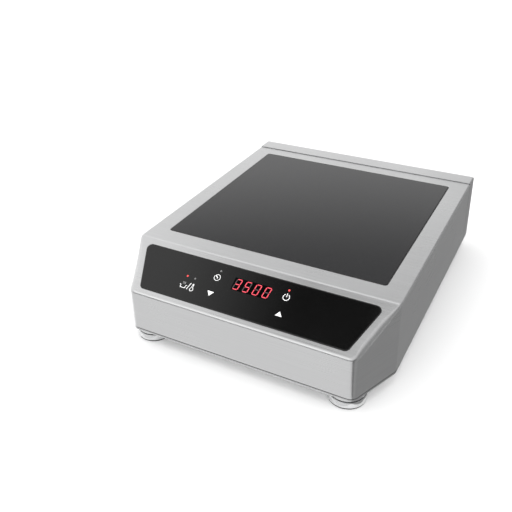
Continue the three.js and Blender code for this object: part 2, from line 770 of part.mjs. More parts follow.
function powerBoard(hob) {
  const top = BOARD.under + BOARD.thick;
  const seat = top + GAP;
  const screwHoles = boardCorners.map(([x, y]) => circle(x, y, 1.8));
  const card = withHoles(rectangle(BOARD.left, BOARD.right, BOARD.front, BOARD.rear, 2), ...screwHoles);
  part(hob, 'power_board', prism(card, BOARD.under, top), greenBoard);

  const sinkLeft = BOARD.left + 14;
  const sinkFront = BOARD.front + 16;
  const sink = alongY(heatsinkOutline(), sinkFront, sinkFront + 100).translate(sinkLeft, 0, seat);
  part(hob, 'heatsink', sink, aluminium);

  // flat packages clamp to the heatsink's right flank, their legs in the board
  const flank = sinkLeft + (SINK.fins - 1) * SINK.pitch + SINK.fin + GAP;
  const packages = [['bridge_rectifier', sinkFront + 10, 30], ['power_transistor', sinkFront + 60, 20]];
  for (const [name, y, width] of packages) {
    const body = box(flank, flank + 5, y, y + width, seat + 6, seat + 28);
    const legs = [0.2, 0.5, 0.8].map((share) => {
      const middle = y + share * width;
      return box(flank + 1.8, flank + 3, middle - 1, middle + 1, seat, seat + 7);
    });
    part(hob, name, join(body, ...legs), blackPlastic);
  }

  const wound = 7;
  const choke = new THREE.TorusGeometry(15, wound, 8, 20).translate(72, BOARD.front + 50, seat + wound);
  part(hob, 'filter_choke', choke, copper);
  const film = (x0, x1, y0, y1, height) => prism(rectangle(x0, x1, y0, y1, 2), seat, seat + height);
  part(hob, 'resonant_capacitor', film(50, 92, BOARD.front + 84, BOARD.front + 106, 34), yellowFilm);
  part(hob, 'filter_capacitor', film(50, 84, BOARD.front + 116, BOARD.front + 134, 28), yellowFilm);

  const blockLeft = 62;
  const blockRear = BOARD.rear - 10;
  const way = 12;
  const notches = [0, 1, 2].map((i) => {
    const left = blockLeft + 4 + i * way;
    return box(left, left + way - 4, blockRear - 5, blockRear + 1, seat + 3, seat + 13);
  });
  const block = box(blockLeft, blockLeft + 3 * way + 4, blockRear - 16, blockRear, seat, seat + 18);
  part(hob, 'terminal_block', cut(block, ...notches), palePlastic);
}

// ---- wiring held inside ----

function wiring(hob) {
  const [outerHole, innerHole] = leadTops();
  const boardTop = BOARD.under + BOARD.thick + 1.6;
  const high = COIL.plateTop + 3;
  const toward = (hole, share) => [hole[0] * share, coilY + (hole[1] - coilY) * share];
  const outerLead = [
    [...toward(outerHole, 0.945), high + 0.5],
    [...toward(outerHole, 0.985), high - 1.5],
    [...outerHole, COIL.bridgeTop],
    [...outerHole, 55],
    [outerHole[0] - 3, outerHole[1], boardTop],
  ];
  part(hob, 'coil_lead_outer', lead(outerLead, 2, 14), redSilicone);
  const under = (COIL.bridgeTop + COIL.plateUnder) / 2 + 0.2;
  const innerLead = [
    [...toward(innerHole, 0.22), under],
    [...toward(innerHole, 0.6), under],
    [...toward(innerHole, 0.88), under],
    [...toward(innerHole, 0.97), under - 1],
    [...innerHole, COIL.bridgeUnder - 4],
    [innerHole[0] + 1, BOARD.front - 6, 56],
    [innerHole[0] + 2, BOARD.front + 18, boardTop],
  ];
  part(hob, 'coil_lead_inner', lead(innerLead, 2, 18), redSilicone);
  part(hob, 'ribbon_cable', ribbon(), greyVinyl);
}

// The flat cable from the touch board's underside, between the fans, to the power board.
function ribbon() {
  const thick = 1.2;
  const halfWidth = 6;
  const boardUnder = 14.2;
  const start = new THREE.Vector2(37, -boardUnder).rotateAround(new THREE.Vector2(), slopeAngle);
  const route = new THREE.SplineCurve([
    new THREE.Vector2(start.x, start.y + PANEL_FRONT_HEIGHT),
    new THREE.Vector2(start.x + 6, start.y + PANEL_FRONT_HEIGHT - 11),
    new THREE.Vector2(62, 42),
    new THREE.Vector2(90, 30),
    new THREE.Vector2(150, 28),
    new THREE.Vector2(BOARD.front + 8, BOARD.under + BOARD.thick + 2),
  ]);
  const steps = 16;
  const above = [];
  const below = [];
  for (let i = 0; i <= steps; i += 1) {
    const point = route.getPoint(i / steps);
    const across = route.getTangent(i / steps).rotateAround(new THREE.Vector2(), Math.PI / 2);
    above.push([point.x + across.x * thick / 2, point.y + across.y * thick / 2]);
    below.unshift([point.x - across.x * thick / 2, point.y - across.y * thick / 2]);
  }
  return acrossX(outline([...below, ...above]), -halfWidth, halfWidth);
}

// ---- the whole hob ----

const hob = new THREE.Group();
hob.position.y = -overallDepth / 2;
upperHousing(hob);
rearCover(hob);
rearScrews(hob);
baseTray(hob);
cookingGlass(hob);
controlPanel(hob);
feet(hob);
gland(hob);
coil(hob);
coilBridge(hob);
fans(hob);
powerBoard(hob);
wiring(hob);

export default hob;
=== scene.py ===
"""Looks of a countertop induction hob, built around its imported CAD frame. Metres, +Z up."""

import json
import math

import bmesh
import bpy
from mathutils import Matrix, Vector


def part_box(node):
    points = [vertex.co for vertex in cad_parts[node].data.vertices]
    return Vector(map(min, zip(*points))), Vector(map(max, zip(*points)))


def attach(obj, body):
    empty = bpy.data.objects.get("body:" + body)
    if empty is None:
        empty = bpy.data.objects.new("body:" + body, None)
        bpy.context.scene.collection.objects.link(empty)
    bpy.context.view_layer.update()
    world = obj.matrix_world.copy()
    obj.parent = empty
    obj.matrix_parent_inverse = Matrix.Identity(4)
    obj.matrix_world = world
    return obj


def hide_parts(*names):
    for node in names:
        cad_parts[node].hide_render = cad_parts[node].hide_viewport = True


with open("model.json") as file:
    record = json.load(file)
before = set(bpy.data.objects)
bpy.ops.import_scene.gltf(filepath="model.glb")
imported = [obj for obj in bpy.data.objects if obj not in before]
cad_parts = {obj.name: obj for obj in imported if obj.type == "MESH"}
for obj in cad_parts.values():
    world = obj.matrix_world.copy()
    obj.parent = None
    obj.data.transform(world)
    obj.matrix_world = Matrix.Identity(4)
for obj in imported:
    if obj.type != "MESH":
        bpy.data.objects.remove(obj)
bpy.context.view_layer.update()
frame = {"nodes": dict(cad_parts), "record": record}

# ---- sizes, from the frame where it states them ----
MM = 0.001
housing_low, housing_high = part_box("upper_housing")
cover_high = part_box("rear_cover")[1]
tray_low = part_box("base_tray")[0]
glass_low, glass_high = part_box("cooking_glass")

# The outer faces: HALF is half the width, and JOINT is where the housing meets the rear cover.
HALF = housing_high[0]
FRONT = housing_low[1]
JOINT = housing_high[1]
REAR = cover_high[1]
DECK = housing_high[2]
COVER_TOP = cover_high[2]
TRAY_UNDER = tray_low[2]

# The sheet, the groove at the joint, and the dark gap between the skirt and the tray's hem.
SHEET = 1.2 * MM
GROOVE = 1.0 * MM
SHADOW_GAP = 0.8 * MM
SKIRT = housing_low[2] + SHADOW_GAP

# The slope from the deck's fold down to the narrower front face.
PANEL_RUN = 65 * MM
PANEL_DROP = 38 * MM
FRONT_HALF = 144 * MM
FOLD = FRONT + PANEL_RUN
TAPER = (HALF - FRONT_HALF) / PANEL_RUN
SLOPE_ANGLE = math.atan2(PANEL_DROP, PANEL_RUN)
SLOPE = Matrix.Translation((0, FRONT, DECK - PANEL_DROP)) @ Matrix.Rotation(SLOPE_ANGLE, 4, "X")

# The cooking glass and the touch panel, each in a bead; the panel's heights run up the slope.
GLASS_PROUD = glass_high[2] - DECK
SEAL = 1.0 * MM
GLASS_CORNER = 3 * MM
PANEL_LOW = 8.7 * MM
PANEL_HIGH = 66.2 * MM
PANEL_LOW_HALF = 131.9 * MM
PANEL_HIGH_HALF = 153.6 * MM
PANEL_CORNER = 5.5 * MM
PANEL_SEAL = 0.9 * MM
PANEL_THICK = 3 * MM
BEAD_GAP = 0.02 * MM
BEAD_SAG = 0.12 * MM
COOKING_GLASS_SOFT = 0.5 * MM
PANEL_SOFT = 0.4 * MM

# How far the bends between top and walls reach. CHEEK_EDGE gives it beside the panel, from the
# front (0) to the fold (1), and CHEEK_SIDEWAYS is how far a cheek there faces sideways.
DECK_EDGE = 2.2 * MM
FRONT_BEND = 2.3 * MM
FOLD_REACH = 1.8 * MM
CHEEK_EDGE = [(0, 4.2 * MM), (0.3, 6.6 * MM), (0.6, 6.4 * MM), (1, 2.8 * MM), (1.1, DECK_EDGE)]
CHEEK_SIDEWAYS = 0.92

# Bends in plan, and the roundings of the cover's edge and of the openings.
FRONT_CORNER = 11 * MM
SHOULDER_BEND = 12 * MM
SHOULDER_REACH = 10 * MM
REAR_CORNER = 3 * MM
COVER_EDGE = 2 * MM
RIM_ROUND = 0.35 * MM
LOUVRE_ROUND = 0.3 * MM

# The rear cover's louvres, the gland's hole, the lip that slides under the housing and the web that
# holds it, and how far cutters reach through the sheet.
LOUVRE_BANKS = (-110 * MM, -32 * MM, 46 * MM)
LOUVRE_ROWS = 7
LOUVRE_LOW = 43.7 * MM
LOUVRE_PITCH = 8 * MM
LOUVRE_HALF_LENGTH = 33 * MM
LOUVRE_HALF_HEIGHT = 1.7 * MM
GLAND_HOLE = 8.3 * MM
LIP_LAP = 9 * MM
LIP_GAP = 0.3 * MM
WEB_INSET = 0.1 * MM
CUT_REACH = 5 * MM

# The tray's hem, as points (out from the tray's edge, up from its underside) in millimetres.
HEM_INSET = 0.05 * MM
HEM_EDGE = [
    (-1.1, -1), (-0.2, -1), (0, -0.8), (0, -0.1), (-0.14, 0.35), (-0.36, 0.75),
    (-0.68, 1.08), (-1.1, 1.2), (-2, 1.2), (-2, 0), (-1.1, 0),
]

# Turned pieces, as points (radius, height, rounding) in millimetres.
COLLAR = [
    (4.4, 9.8, 0), (20.7, 9.8, 0.7), (20.7, 16.3, 0.3), (6.6, 16.3, 0), (6.6, 24, 0.5), (4.4, 24, 0),
]
STUD = [
    (0, 4.6, 0), (14.4, 4.6, 0), (14.4, 1.8, 0.3), (22, 1.8, 0.5),
    (22, 9.3, 0.9), (3.9, 9.3, 0.4), (3.9, 34, 0.8), (0, 34, 0),
]
PAD = [(0, 0, 0), (21.4, 0, 0.5), (21.4, 1.5, 0.3), (14, 1.5, 0), (14, 4.3, 0.4), (0, 4.3, 0)]

# Screws, in millimetres over the face they sit on, and the places of those under the base.
SCREW_SHANK = 2
SCREW_HEAD = 4
REAR_HEAD_HEIGHT = 2.3
REAR_SHANK_END = -9
BASE_HEAD_HEIGHT = 2.0
BASE_SHANK_END = -2.5
RECESS_HALF_LENGTH = 1.8
RECESS_HALF_WIDTH = 0.35
RECESS_DEPTH = 1.1
BASE_SCREW_INSET = 7 * MM
BASE_SCREW_FRONT = 80 * MM
BASE_SCREW_DEPTHS = (FOLD + 30 * MM, 0, JOINT - 45 * MM)

# The camera: where it stands, and its yaw, tilt and roll in degrees.
CAMERA_PLACE = (0.3134, FRONT - 0.5104, 0.5244)
CAMERA_TURN = (28.77, 90 - 27.08, -1.39)
CAMERA_LENS = 46.74
CAMERA_SHIFT = -0.1

# Edges that turn more than this are shaded sharp.
SHARP = math.radians(35)

# What tells an opening's rim from other edges: how sharply it turns, in radians, and where it lies.
RIM_TURN = 0.5
NEAR = 0.01 * MM
WALL_CLEAR = 8 * MM
PANEL_CLEAR = 3 * MM


# ---- mesh helpers ----

def circle(centre, radius, sides):
    """Points round a circle."""
    turns = [2 * math.pi * i / sides for i in range(sides)]
    return [(centre[0] + radius * math.cos(a), centre[1] + radius * math.sin(a)) for a in turns]


def corner_arc(back, here, ahead, radius, steps):
    """Points of the arc that rounds a corner between its two neighbours."""
    back = (back - here).normalized()
    ahead = (ahead - here).normalized()
    half_angle = back.angle(ahead) / 2
    centre = here + (back + ahead).normalized() * radius / math.sin(half_angle)
    start = here + back * radius / math.tan(half_angle) - centre
    turn = math.copysign(math.pi - 2 * half_angle, -back.cross(ahead))
    return [centre + Matrix.Rotation(turn * step / steps, 2) @ start for step in range(steps + 1)]


def open_path(corners, steps=8):
    """Points along an open path of corners (x, y, radius)."""
    places = [Vector(corner[:2]) for corner in corners]
    points = []
    for i, (here, (_, _, radius)) in enumerate(zip(places, corners)):
        if radius:
            points += corner_arc(places[i - 1], here, places[i + 1], radius, steps)
        else:
            points.append(here)
    return points


def outline(corners, steps=8):
    """Points round a closed outline of corners (x, y, radius)."""
    places = [Vector(corner[:2]) for corner in corners]
    points = []
    for i, (here, (_, _, radius)) in enumerate(zip(places, corners)):
        points += corner_arc(places[i - 1], here, places[(i + 1) % len(places)], radius, steps)
    return points


def glass_outline(grow):
    """The cooking glass's plan outline, grown by a margin."""
    low_x, low_y = glass_low[0] - grow, glass_low[1] - grow
    high_x, high_y = glass_high[0] + grow, glass_high[1] + grow
    r = GLASS_CORNER + grow
    return outline([(low_x, low_y, r), (high_x, low_y, r), (high_x, high_y, r), (low_x, high_y, r)])


def panel_outline(grow):
    """The touch panel's outline on the slope, grown by a margin."""
    lean = (PANEL_HIGH_HALF - PANEL_LOW_HALF) / (PANEL_HIGH - PANEL_LOW)
    slant = grow * math.hypot(1, lean)
    low = PANEL_LOW_HALF - lean * grow + slant
    high = PANEL_HIGH_HALF + lean * grow + slant
    r = PANEL_CORNER + grow
    return outline([
        (-low, PANEL_LOW - grow, r),
        (low, PANEL_LOW - grow, r),
        (high, PANEL_HIGH + grow, r),
        (-high, PANEL_HIGH + grow, r),
    ], 12)


def plan_outline(inset):
    """The housing's and rear cover's outline in plan, shrunk by an inset."""
    slant = inset * math.hypot(1, TAPER)
    front = FRONT_HALF + TAPER * inset - slant
    side = HALF - inset
    shoulder = FRONT + (side - FRONT_HALF + slant) / TAPER
    return outline([
        (-front, FRONT + inset, FRONT_CORNER),
        (front, FRONT + inset, FRONT_CORNER),
        (side, shoulder, SHOULDER_REACH),
        (side, REAR - inset, REAR_CORNER),
        (-side, REAR - inset, REAR_CORNER),
        (-side, shoulder, SHOULDER_REACH),
    ], 12)


def add_object(name, data):
    """Puts a mesh, camera or light into the scene as an object."""
    piece = bpy.data.objects.new(name, data)
    bpy.context.scene.collection.objects.link(piece)
    return piece


def mesh_from(bm, name):
    """Turns a bmesh into a mesh and frees it."""
    mesh = bpy.data.meshes.new(name)
    bm.to_mesh(mesh)
    bm.free()
    return mesh


def shade(piece, weighted=True):
    """Smooth shading with sharp edges kept, and flat faces kept flat where weighted."""
    piece.data.shade_smooth()
    piece.data.set_sharp_from_angle(angle=SHARP)
    if weighted:
        modifier = piece.modifiers.new("weighted", "WEIGHTED_NORMAL")
        modifier.keep_sharp = True
        modifier.weight = 100


def finish_mesh(bm, name, material, weighted=True):
    """Turns a bmesh into a shaded object of the scene."""
    bmesh.ops.recalc_face_normals(bm, faces=bm.faces)
    piece = add_object(name, mesh_from(bm, name))
    piece.data.materials.append(material)
    shade(piece, weighted)
    return piece


def add_loft(bm, loops, closed=False, caps=True):
    """Skins loops of equally many points; closed joins the last loop to the first."""
    rings = [[bm.verts.new(point) for point in loop] for loop in loops]
    pairs = list(zip(rings, rings[1:]))
    if closed:
        pairs.append((rings[-1], rings[0]))
    for near, far in pairs:
        for i in range(len(near)):
            bm.faces.new((near[i - 1], near[i], far[i], far[i - 1]))
    if caps and not closed:
        bm.faces.new(rings[0])
        bm.faces.new(rings[-1])


def lifted(points, height, matrix=Matrix()):
    """Plan points at a height, placed by a matrix."""
    return [matrix @ Vector((x, y, height)) for x, y in points]


def slab(name, form, profile, slot, matrix=Matrix(), closed=False):
    """A pane, plate or ring whose edge follows profile points (grow, height)."""
    bm = bmesh.new()
    add_loft(bm, [lifted(form(grow), height, matrix) for grow, height in profile], closed)
    return finish_mesh(bm, name, finishes[slot])


def add_prism(bm, points, low, high, matrix=Matrix()):
    """A straight prism on plan points."""
    add_loft(bm, [lifted(points, low, matrix), lifted(points, high, matrix)])


def add_lathe(bm, profile, sides=96, flute=None):
    """Turns a profile (radius, height) about Z; ends on the axis close, others meet."""
    on_axis = [point[0] < 1e-7 for point in profile]
    rings = []
    for (radius, height), pole in zip(profile, on_axis):
        if pole:
            rings.append([bm.verts.new((0, 0, height))])
            continue
        ring = []
        for side in range(sides):
            angle = 2 * math.pi * side / sides
            r = radius + (flute(angle, radius, height) if flute else 0)
            ring.append(bm.verts.new((r * math.cos(angle), r * math.sin(angle), height)))
        rings.append(ring)
    pairs = list(zip(rings, rings[1:]))
    if not on_axis[0]:
        pairs.append((rings[-1], rings[0]))
    for near, far in pairs:
        for i in range(sides):
            if len(near) == 1:
                bm.faces.new((near[0], far[i], far[i - 1]))
            elif len(far) == 1:
                bm.faces.new((near[i - 1], near[i], far[0]))
            else:
                bm.faces.new((near[i - 1], near[i], far[i], far[i - 1]))


def turned(name, points, material, place, turn=Matrix(), sides=96, flute=None):
    """A lathe-turned piece with its own origin on its axis."""
    bm = bmesh.new()
    profile = open_path([(r * MM, z * MM, f * MM) for r, z, f in points], 4)
    add_lathe(bm, profile, sides, flute)
    piece = finish_mesh(bm, name, material)
    piece.matrix_world = Matrix.Translation(place) @ turn
    return piece


def apply_modifiers(piece):
    """Bakes a piece's modifiers into its mesh."""
    graph = bpy.context.evaluated_depsgraph_get()
    mesh = bpy.data.meshes.new_from_object(piece.evaluated_get(graph))
    piece.modifiers.clear()
    piece.data = mesh


def carve(piece, bm):
    """Cuts the solids of a bmesh out of a piece."""
    bmesh.ops.recalc_face_normals(bm, faces=bm.faces)
    cutter = add_object("cutter", mesh_from(bm, "cutter"))
    modifier = piece.modifiers.new("carve", "BOOLEAN")
    modifier.object = cutter
    modifier.operation = "DIFFERENCE"
    modifier.solver = "MANIFOLD"
    apply_modifiers(piece)
    bpy.data.objects.remove(cutter)


def bevel_edges(piece, chosen, width, segments=3):
    """Rounds the edges of a piece that chosen(edge) accepts."""
    bm = bmesh.new()
    bm.from_mesh(piece.data)
    edges = [edge for edge in bm.edges if len(edge.link_faces) == 2 and chosen(edge)]
    bmesh.ops.bevel(bm, geom=edges, offset=width, segments=segments, profile=0.5, affect="EDGES")
    bm.to_mesh(piece.data)
    bm.free()


# ---- material helpers ----

class Finish:
    """A procedural material: a principled shader and short calls to add nodes to it."""

    def __init__(self, name, color, metallic=0.0, ior=1.5):
        self.material = bpy.data.materials.new(name)
        self.material.use_nodes = True
        self.tree = self.material.node_tree
        self.shader = self.tree.nodes["Principled BSDF"]
        self.shader.inputs["Base Color"].default_value = (*color, 1)
        self.shader.inputs["Metallic"].default_value = metallic
        self.shader.inputs["IOR"].default_value = ior
        self.coords = self.tree.nodes.new("ShaderNodeTexCoord")

    def node(self, kind, **settings):
        """Adds a node with its settings."""
        made = self.tree.nodes.new(kind)
        for name, value in settings.items():
            setattr(made, name, value)
        return made

    def link(self, source, target):
        """Joins an output to an input."""
        self.tree.links.new(source, target)

    def feed(self, sockets, values):
        """Links or sets each socket, whichever its value calls for."""
        for socket, value in zip(sockets, values):
            if isinstance(value, bpy.types.NodeSocket):
                self.link(value, socket)
            else:
                socket.default_value = value

    def math(self, operation, a, b=0.0):
        """Works out one sum or comparison."""
        made = self.node("ShaderNodeMath", operation=operation)
        self.feed(made.inputs, (a, b))
        return made.outputs[0]

    def noise(self, scale, detail=3.0, vector=None):
        """Noise over object coordinates, stretched by a scale of cycles per metre along each axis."""
        mapping = self.node("ShaderNodeMapping")
        mapping.inputs["Scale"].default_value = scale
        self.link(vector or self.coords.outputs["Object"], mapping.inputs["Vector"])
        made = self.node("ShaderNodeTexNoise")
        made.inputs["Scale"].default_value = 1.0
        made.inputs["Detail"].default_value = detail
        self.link(mapping.outputs["Vector"], made.inputs["Vector"])
        return made.outputs["Fac"]

    def blend(self, factor, a, b):
        """Mixes two values by a factor."""
        made = self.node("ShaderNodeMix", data_type="FLOAT")
        self.feed(made.inputs[:1] + made.inputs[2:4], (factor, a, b))
        return made.outputs[0]

    def spread(self, value, low, high, start=0.3, end=0.7):
        """Maps a noise value onto a range."""
        made = self.node("ShaderNodeMapRange")
        made.inputs["From Min"].default_value = start
        made.inputs["From Max"].default_value = end
        made.inputs["To Min"].default_value = low
        made.inputs["To Max"].default_value = high
        self.link(value, made.inputs["Value"])
        return made.outputs["Result"]

    def tint(self, value, low_color, high_color, start=0.3, end=0.7):
        """Colours the surface between two colours by a value."""
        made = self.node("ShaderNodeMix", data_type="RGBA")
        share = self.spread(value, 0, 1, start, end)
        self.feed(made.inputs[:1] + made.inputs[6:8], (share, (*low_color, 1), (*high_color, 1)))
        self.link(made.outputs[2], self.shader.inputs["Base Color"])

    def roughness(self, value, low, high):
        """Varies the roughness between two levels by a value."""
        self.link(self.spread(value, low, high), self.shader.inputs["Roughness"])

    def bump(self, value, strength, depth_mm):
        """Raises the surface by a value."""
        made = self.node("ShaderNodeBump")
        made.inputs["Strength"].default_value = strength
        made.inputs["Distance"].default_value = depth_mm * MM
        self.link(value, made.inputs["Height"])
        self.link(made.outputs["Normal"], self.shader.inputs["Normal"])


# ---- materials ----

def brushed_steel():
    """Stainless sheet, its grain level along the walls and from side to side on the top."""
    finish = Finish("brushed_steel", (0.7, 0.7, 0.7), metallic=1.0)
    on_walls = finish.noise((9, 9, 1900), detail=4)
    on_top = finish.noise((9, 1900, 9), detail=4)
    split = finish.node("ShaderNodeSeparateXYZ")
    finish.link(finish.coords.outputs["Normal"], split.inputs[0])
    facing_up = finish.math("GREATER_THAN", finish.math("ABSOLUTE", split.outputs["Z"]), 0.45)
    grain = finish.blend(facing_up, on_walls, on_top)
    clouds = finish.noise((14, 14, 14), detail=2)
    finish.tint(grain, (0.66, 0.663, 0.667), (0.72, 0.723, 0.727))
    finish.link(
        finish.math("ADD", finish.spread(grain, 0.27, 0.33), finish.spread(clouds, -0.02, 0.03)),
        finish.shader.inputs["Roughness"],
    )
    finish.bump(grain, 0.08, 0.02)
    return finish.material


def turned_steel():
    """Turned and polished stainless steel, with fine tool rings about the piece's own axis."""
    finish = Finish("turned_steel", (0.75, 0.75, 0.75), metallic=1.0)
    split = finish.node("ShaderNodeSeparateXYZ")
    finish.link(finish.coords.outputs["Object"], split.inputs[0])
    squares = [finish.math("POWER", split.outputs[axis], 2.0) for axis in ("X", "Y")]
    radius = finish.math("SQRT", finish.math("ADD", *squares))
    rings = finish.node("ShaderNodeCombineXYZ")
    finish.link(radius, rings.inputs["X"])
    finish.link(split.outputs["Z"], rings.inputs["Z"])
    grain = finish.noise((2600, 1, 2600), vector=rings.outputs[0])
    finish.tint(grain, (0.7, 0.705, 0.71), (0.78, 0.785, 0.79))
    finish.roughness(grain, 0.12, 0.24)
    finish.bump(grain, 0.2, 0.01)
    return finish.material


def cooking_glass_finish():
    """Polished black glass-ceramic with faint smears and a fine fleck."""
    finish = Finish("cooking_glass", (0.006, 0.006, 0.007), ior=1.53)
    smears = finish.noise((22, 9, 22), detail=5)
    fleck = finish.noise((900, 900, 900), detail=1)
    finish.tint(fleck, (0.004, 0.004, 0.005), (0.016, 0.016, 0.017), 0.55, 0.8)
    finish.roughness(smears, 0.03, 0.09)
    return finish.material


def control_glass_finish():
    """Charcoal-printed panel glass, a little softer in its reflection than the cooking glass."""
    finish = Finish("control_glass", (0.002, 0.002, 0.002), ior=1.5)
    smears = finish.noise((30, 12, 30), detail=5)
    grain = finish.noise((1400, 1400, 1400), detail=1)
    finish.tint(grain, (0.0015, 0.0015, 0.0015), (0.003, 0.003, 0.003))
    finish.roughness(smears, 0.07, 0.12)
    return finish.material


def display_window_finish():
    """The clear filter over the digits: darker than the print round it."""
    finish = Finish("display_window", (0.001, 0.001, 0.001), ior=1.3)
    finish.shader.inputs["Specular IOR Level"].default_value = 0.12
    finish.roughness(finish.noise((400, 400, 400)), 0.12, 0.2)
    return finish.material


def print_finish(name, color):
    """Ink printed on the glass."""
    finish = Finish(name, color)
    cloud = finish.noise((900, 900, 900))
    finish.tint(cloud, tuple(0.9 * c for c in color), color)
    finish.roughness(cloud, 0.4, 0.6)
    return finish.material


def glow_finish(name, color, strength):
    """A lit display segment or lamp, a little uneven in its brightness."""
    finish = Finish(name, tuple(0.5 * c for c in color))
    finish.shader.inputs["Emission Color"].default_value = (*color, 1)
    uneven = finish.noise((350, 350, 350), detail=1)
    finish.link(finish.spread(uneven, 0.85 * strength, strength), finish.shader.inputs["Emission Strength"])
    finish.roughness(uneven, 0.3, 0.4)
    return finish.material


def grained(name, color, rough, scale, depth_mm, metallic=0.0, contrast=0.25):
    """A moulded, cast or sintered surface with an even fine grain."""
    finish = Finish(name, color, metallic)
    grain = finish.noise((scale, scale, scale), detail=4)
    patches = finish.noise((60, 60, 60), detail=2)
    finish.tint(patches, tuple(c * (1 - contrast) for c in color), tuple(c * (1 + contrast) for c in color))
    finish.roughness(grain, rough - 0.07, rough + 0.07)
    finish.bump(grain, 0.4, depth_mm)
    return finish.material


def drawn_aluminium(name, color, scale):
    """Aluminium with die or rolling lines, stretched by a scale."""
    finish = Finish(name, color, metallic=1.0)
    lines = finish.noise(scale, detail=4)
    finish.tint(lines, tuple(0.85 * c for c in color), color)
    finish.roughness(lines, 0.32, 0.5)
    finish.bump(lines, 0.3, 0.03)
    return finish.material


def circuit_board_finish():
    """Green solder mask over copper traces."""
    finish = Finish("circuit_board", (0.02, 0.13, 0.05))
    cells = finish.node("ShaderNodeTexVoronoi", feature="DISTANCE_TO_EDGE", distance="MANHATTAN")
    cells.inputs["Scale"].default_value = 95
    finish.link(finish.coords.outputs["Object"], cells.inputs["Vector"])
    traces = cells.outputs["Distance"]
    finish.tint(traces, (0.05, 0.24, 0.09), (0.015, 0.11, 0.04), 0.03, 0.07)
    finish.roughness(finish.noise((500, 500, 500)), 0.3, 0.45)
    finish.bump(finish.spread(traces, 1, 0, 0.03, 0.07), 0.3, 0.05)
    return finish.material


def wound_copper():
    """Enamelled copper strands laid round the winding's axis."""
    finish = Finish("litz_copper", (0.55, 0.25, 0.1), metallic=0.8)
    strands = finish.noise((1500, 1500, 300), detail=5)
    finish.tint(strands, (0.3, 0.12, 0.05), (0.7, 0.34, 0.15))
    finish.roughness(strands, 0.3, 0.5)
    finish.bump(strands, 0.5, 0.2)
    return finish.material


def slot_finishes():
    """One material for each slot that the record names."""
    return {
        "brushed_steel": brushed_steel(),
        "turned_steel": turned_steel(),
        "cooking_glass": cooking_glass_finish(),
        "control_glass": control_glass_finish(),
        "silicone": grained("silicone", (0.012, 0.012, 0.012), 0.45, 900, 0.05),
        "foot_rubber": grained("foot_rubber", (0.02, 0.02, 0.02), 0.75, 1300, 0.1),
        "black_plastic": grained("black_plastic", (0.022, 0.022, 0.024), 0.5, 1600, 0.05),
        "former_plastic": grained("former_plastic", (0.68, 0.65, 0.55), 0.6, 900, 0.05, contrast=0.08),
        "litz_copper": wound_copper(),
        "ferrite": grained("ferrite", (0.04, 0.04, 0.043), 0.7, 1500, 0.08),
        "mica": grained("mica", (0.5, 0.46, 0.35), 0.55, 220, 0.1, contrast=0.15),
        "sensor_metal": drawn_aluminium("sensor_metal", (0.72, 0.72, 0.74), (600, 600, 2000)),
        "aluminium_sheet": drawn_aluminium("aluminium_sheet", (0.66, 0.67, 0.69), (1500, 10, 1500)),
        "heatsink_aluminium": drawn_aluminium("heatsink_aluminium", (0.6, 0.61, 0.63), (2200, 8, 2200)),
        "circuit_board": circuit_board_finish(),
        "component_black": grained("component_black", (0.018, 0.018, 0.02), 0.35, 1200, 0.03),
        "film_yellow": grained("film_yellow", (0.6, 0.4, 0.05), 0.35, 900, 0.03, contrast=0.08),
        "lens_red": grained("lens_red", (0.6, 0.02, 0.02), 0.25, 700, 0.02, contrast=0.1),
        "lens_clear": grained("lens_clear", (0.4, 0.4, 0.39), 0.25, 700, 0.02, contrast=0.1),
        "lead_silicone": grained("lead_silicone", (0.4, 0.05, 0.035), 0.5, 900, 0.04, contrast=0.1),
        "ribbon_vinyl": grained("ribbon_vinyl", (0.36, 0.37, 0.38), 0.5, 800, 0.05, contrast=0.1),
    }


finishes = slot_finishes()


def stand_for(piece, body, slot, *nodes):
    """Puts a new piece on its body, in place of the CAD nodes it stands for."""
    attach(piece, body)
    if nodes:
        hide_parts(*nodes)


# ---- camera ----

def place_camera():
    """The camera in front of the hob's right corner, looking down on it."""
    data = bpy.data.cameras.new("camera")
    data.sensor_width = 36
    data.lens = CAMERA_LENS
    data.shift_y = CAMERA_SHIFT
    camera = add_object("camera", data)
    yaw, tilt, roll = (math.radians(angle) for angle in CAMERA_TURN)
    turn = Matrix.Rotation(yaw, 4, "Z") @ Matrix.Rotation(tilt, 4, "X") @ Matrix.Rotation(roll, 4, "Z")
    camera.matrix_world = Matrix.Translation(CAMERA_PLACE) @ turn
    bpy.context.scene.camera = camera


# ---- the housing ----

def eased(value, steps):
    """A value read off steps (place, amount), easing from one to the next."""
    for (low, near), (high, far) in zip(steps, steps[1:]):
        if value <= high:
            share = max((value - low) / (high - low), 0)
            return near + (far - near) * share * share * (3 - 2 * share)
    return steps[-1][1]


def housing_top(y):
    """The top's height at a depth: the slope, a short curve at the fold, then the deck."""
    if y <= FOLD - FOLD_REACH:
        return DECK - PANEL_DROP * (FOLD - y) / PANEL_RUN
    if y >= FOLD + FOLD_REACH:
        return DECK
    return DECK - PANEL_DROP / PANEL_RUN * (FOLD + FOLD_REACH - y) ** 2 / (4 * FOLD_REACH)


def housing_edge(point, normal):
    """How far the bend between top and wall reaches: furthest beside the sloped panel."""
    sideways = min(abs(normal.x) / CHEEK_SIDEWAYS, 1)
    beside = eased((point.y - FRONT) / PANEL_RUN, CHEEK_EDGE)
    return FRONT_BEND * (1 - sideways) + beside * sideways


def divided(path, longest, end):
    """A path with extra points, so that no step short of a depth is longer than a limit."""
    points = [path[0]]
    for near, far in zip(path, path[1:]):
        across = abs(near.y - far.y) < 1e-6
        count = 1 if across or max(near.y, far.y) > end else math.ceil((far - near).length / longest)
        points += [near.lerp(far, step / count) for step in range(1, count + 1)]
    return points


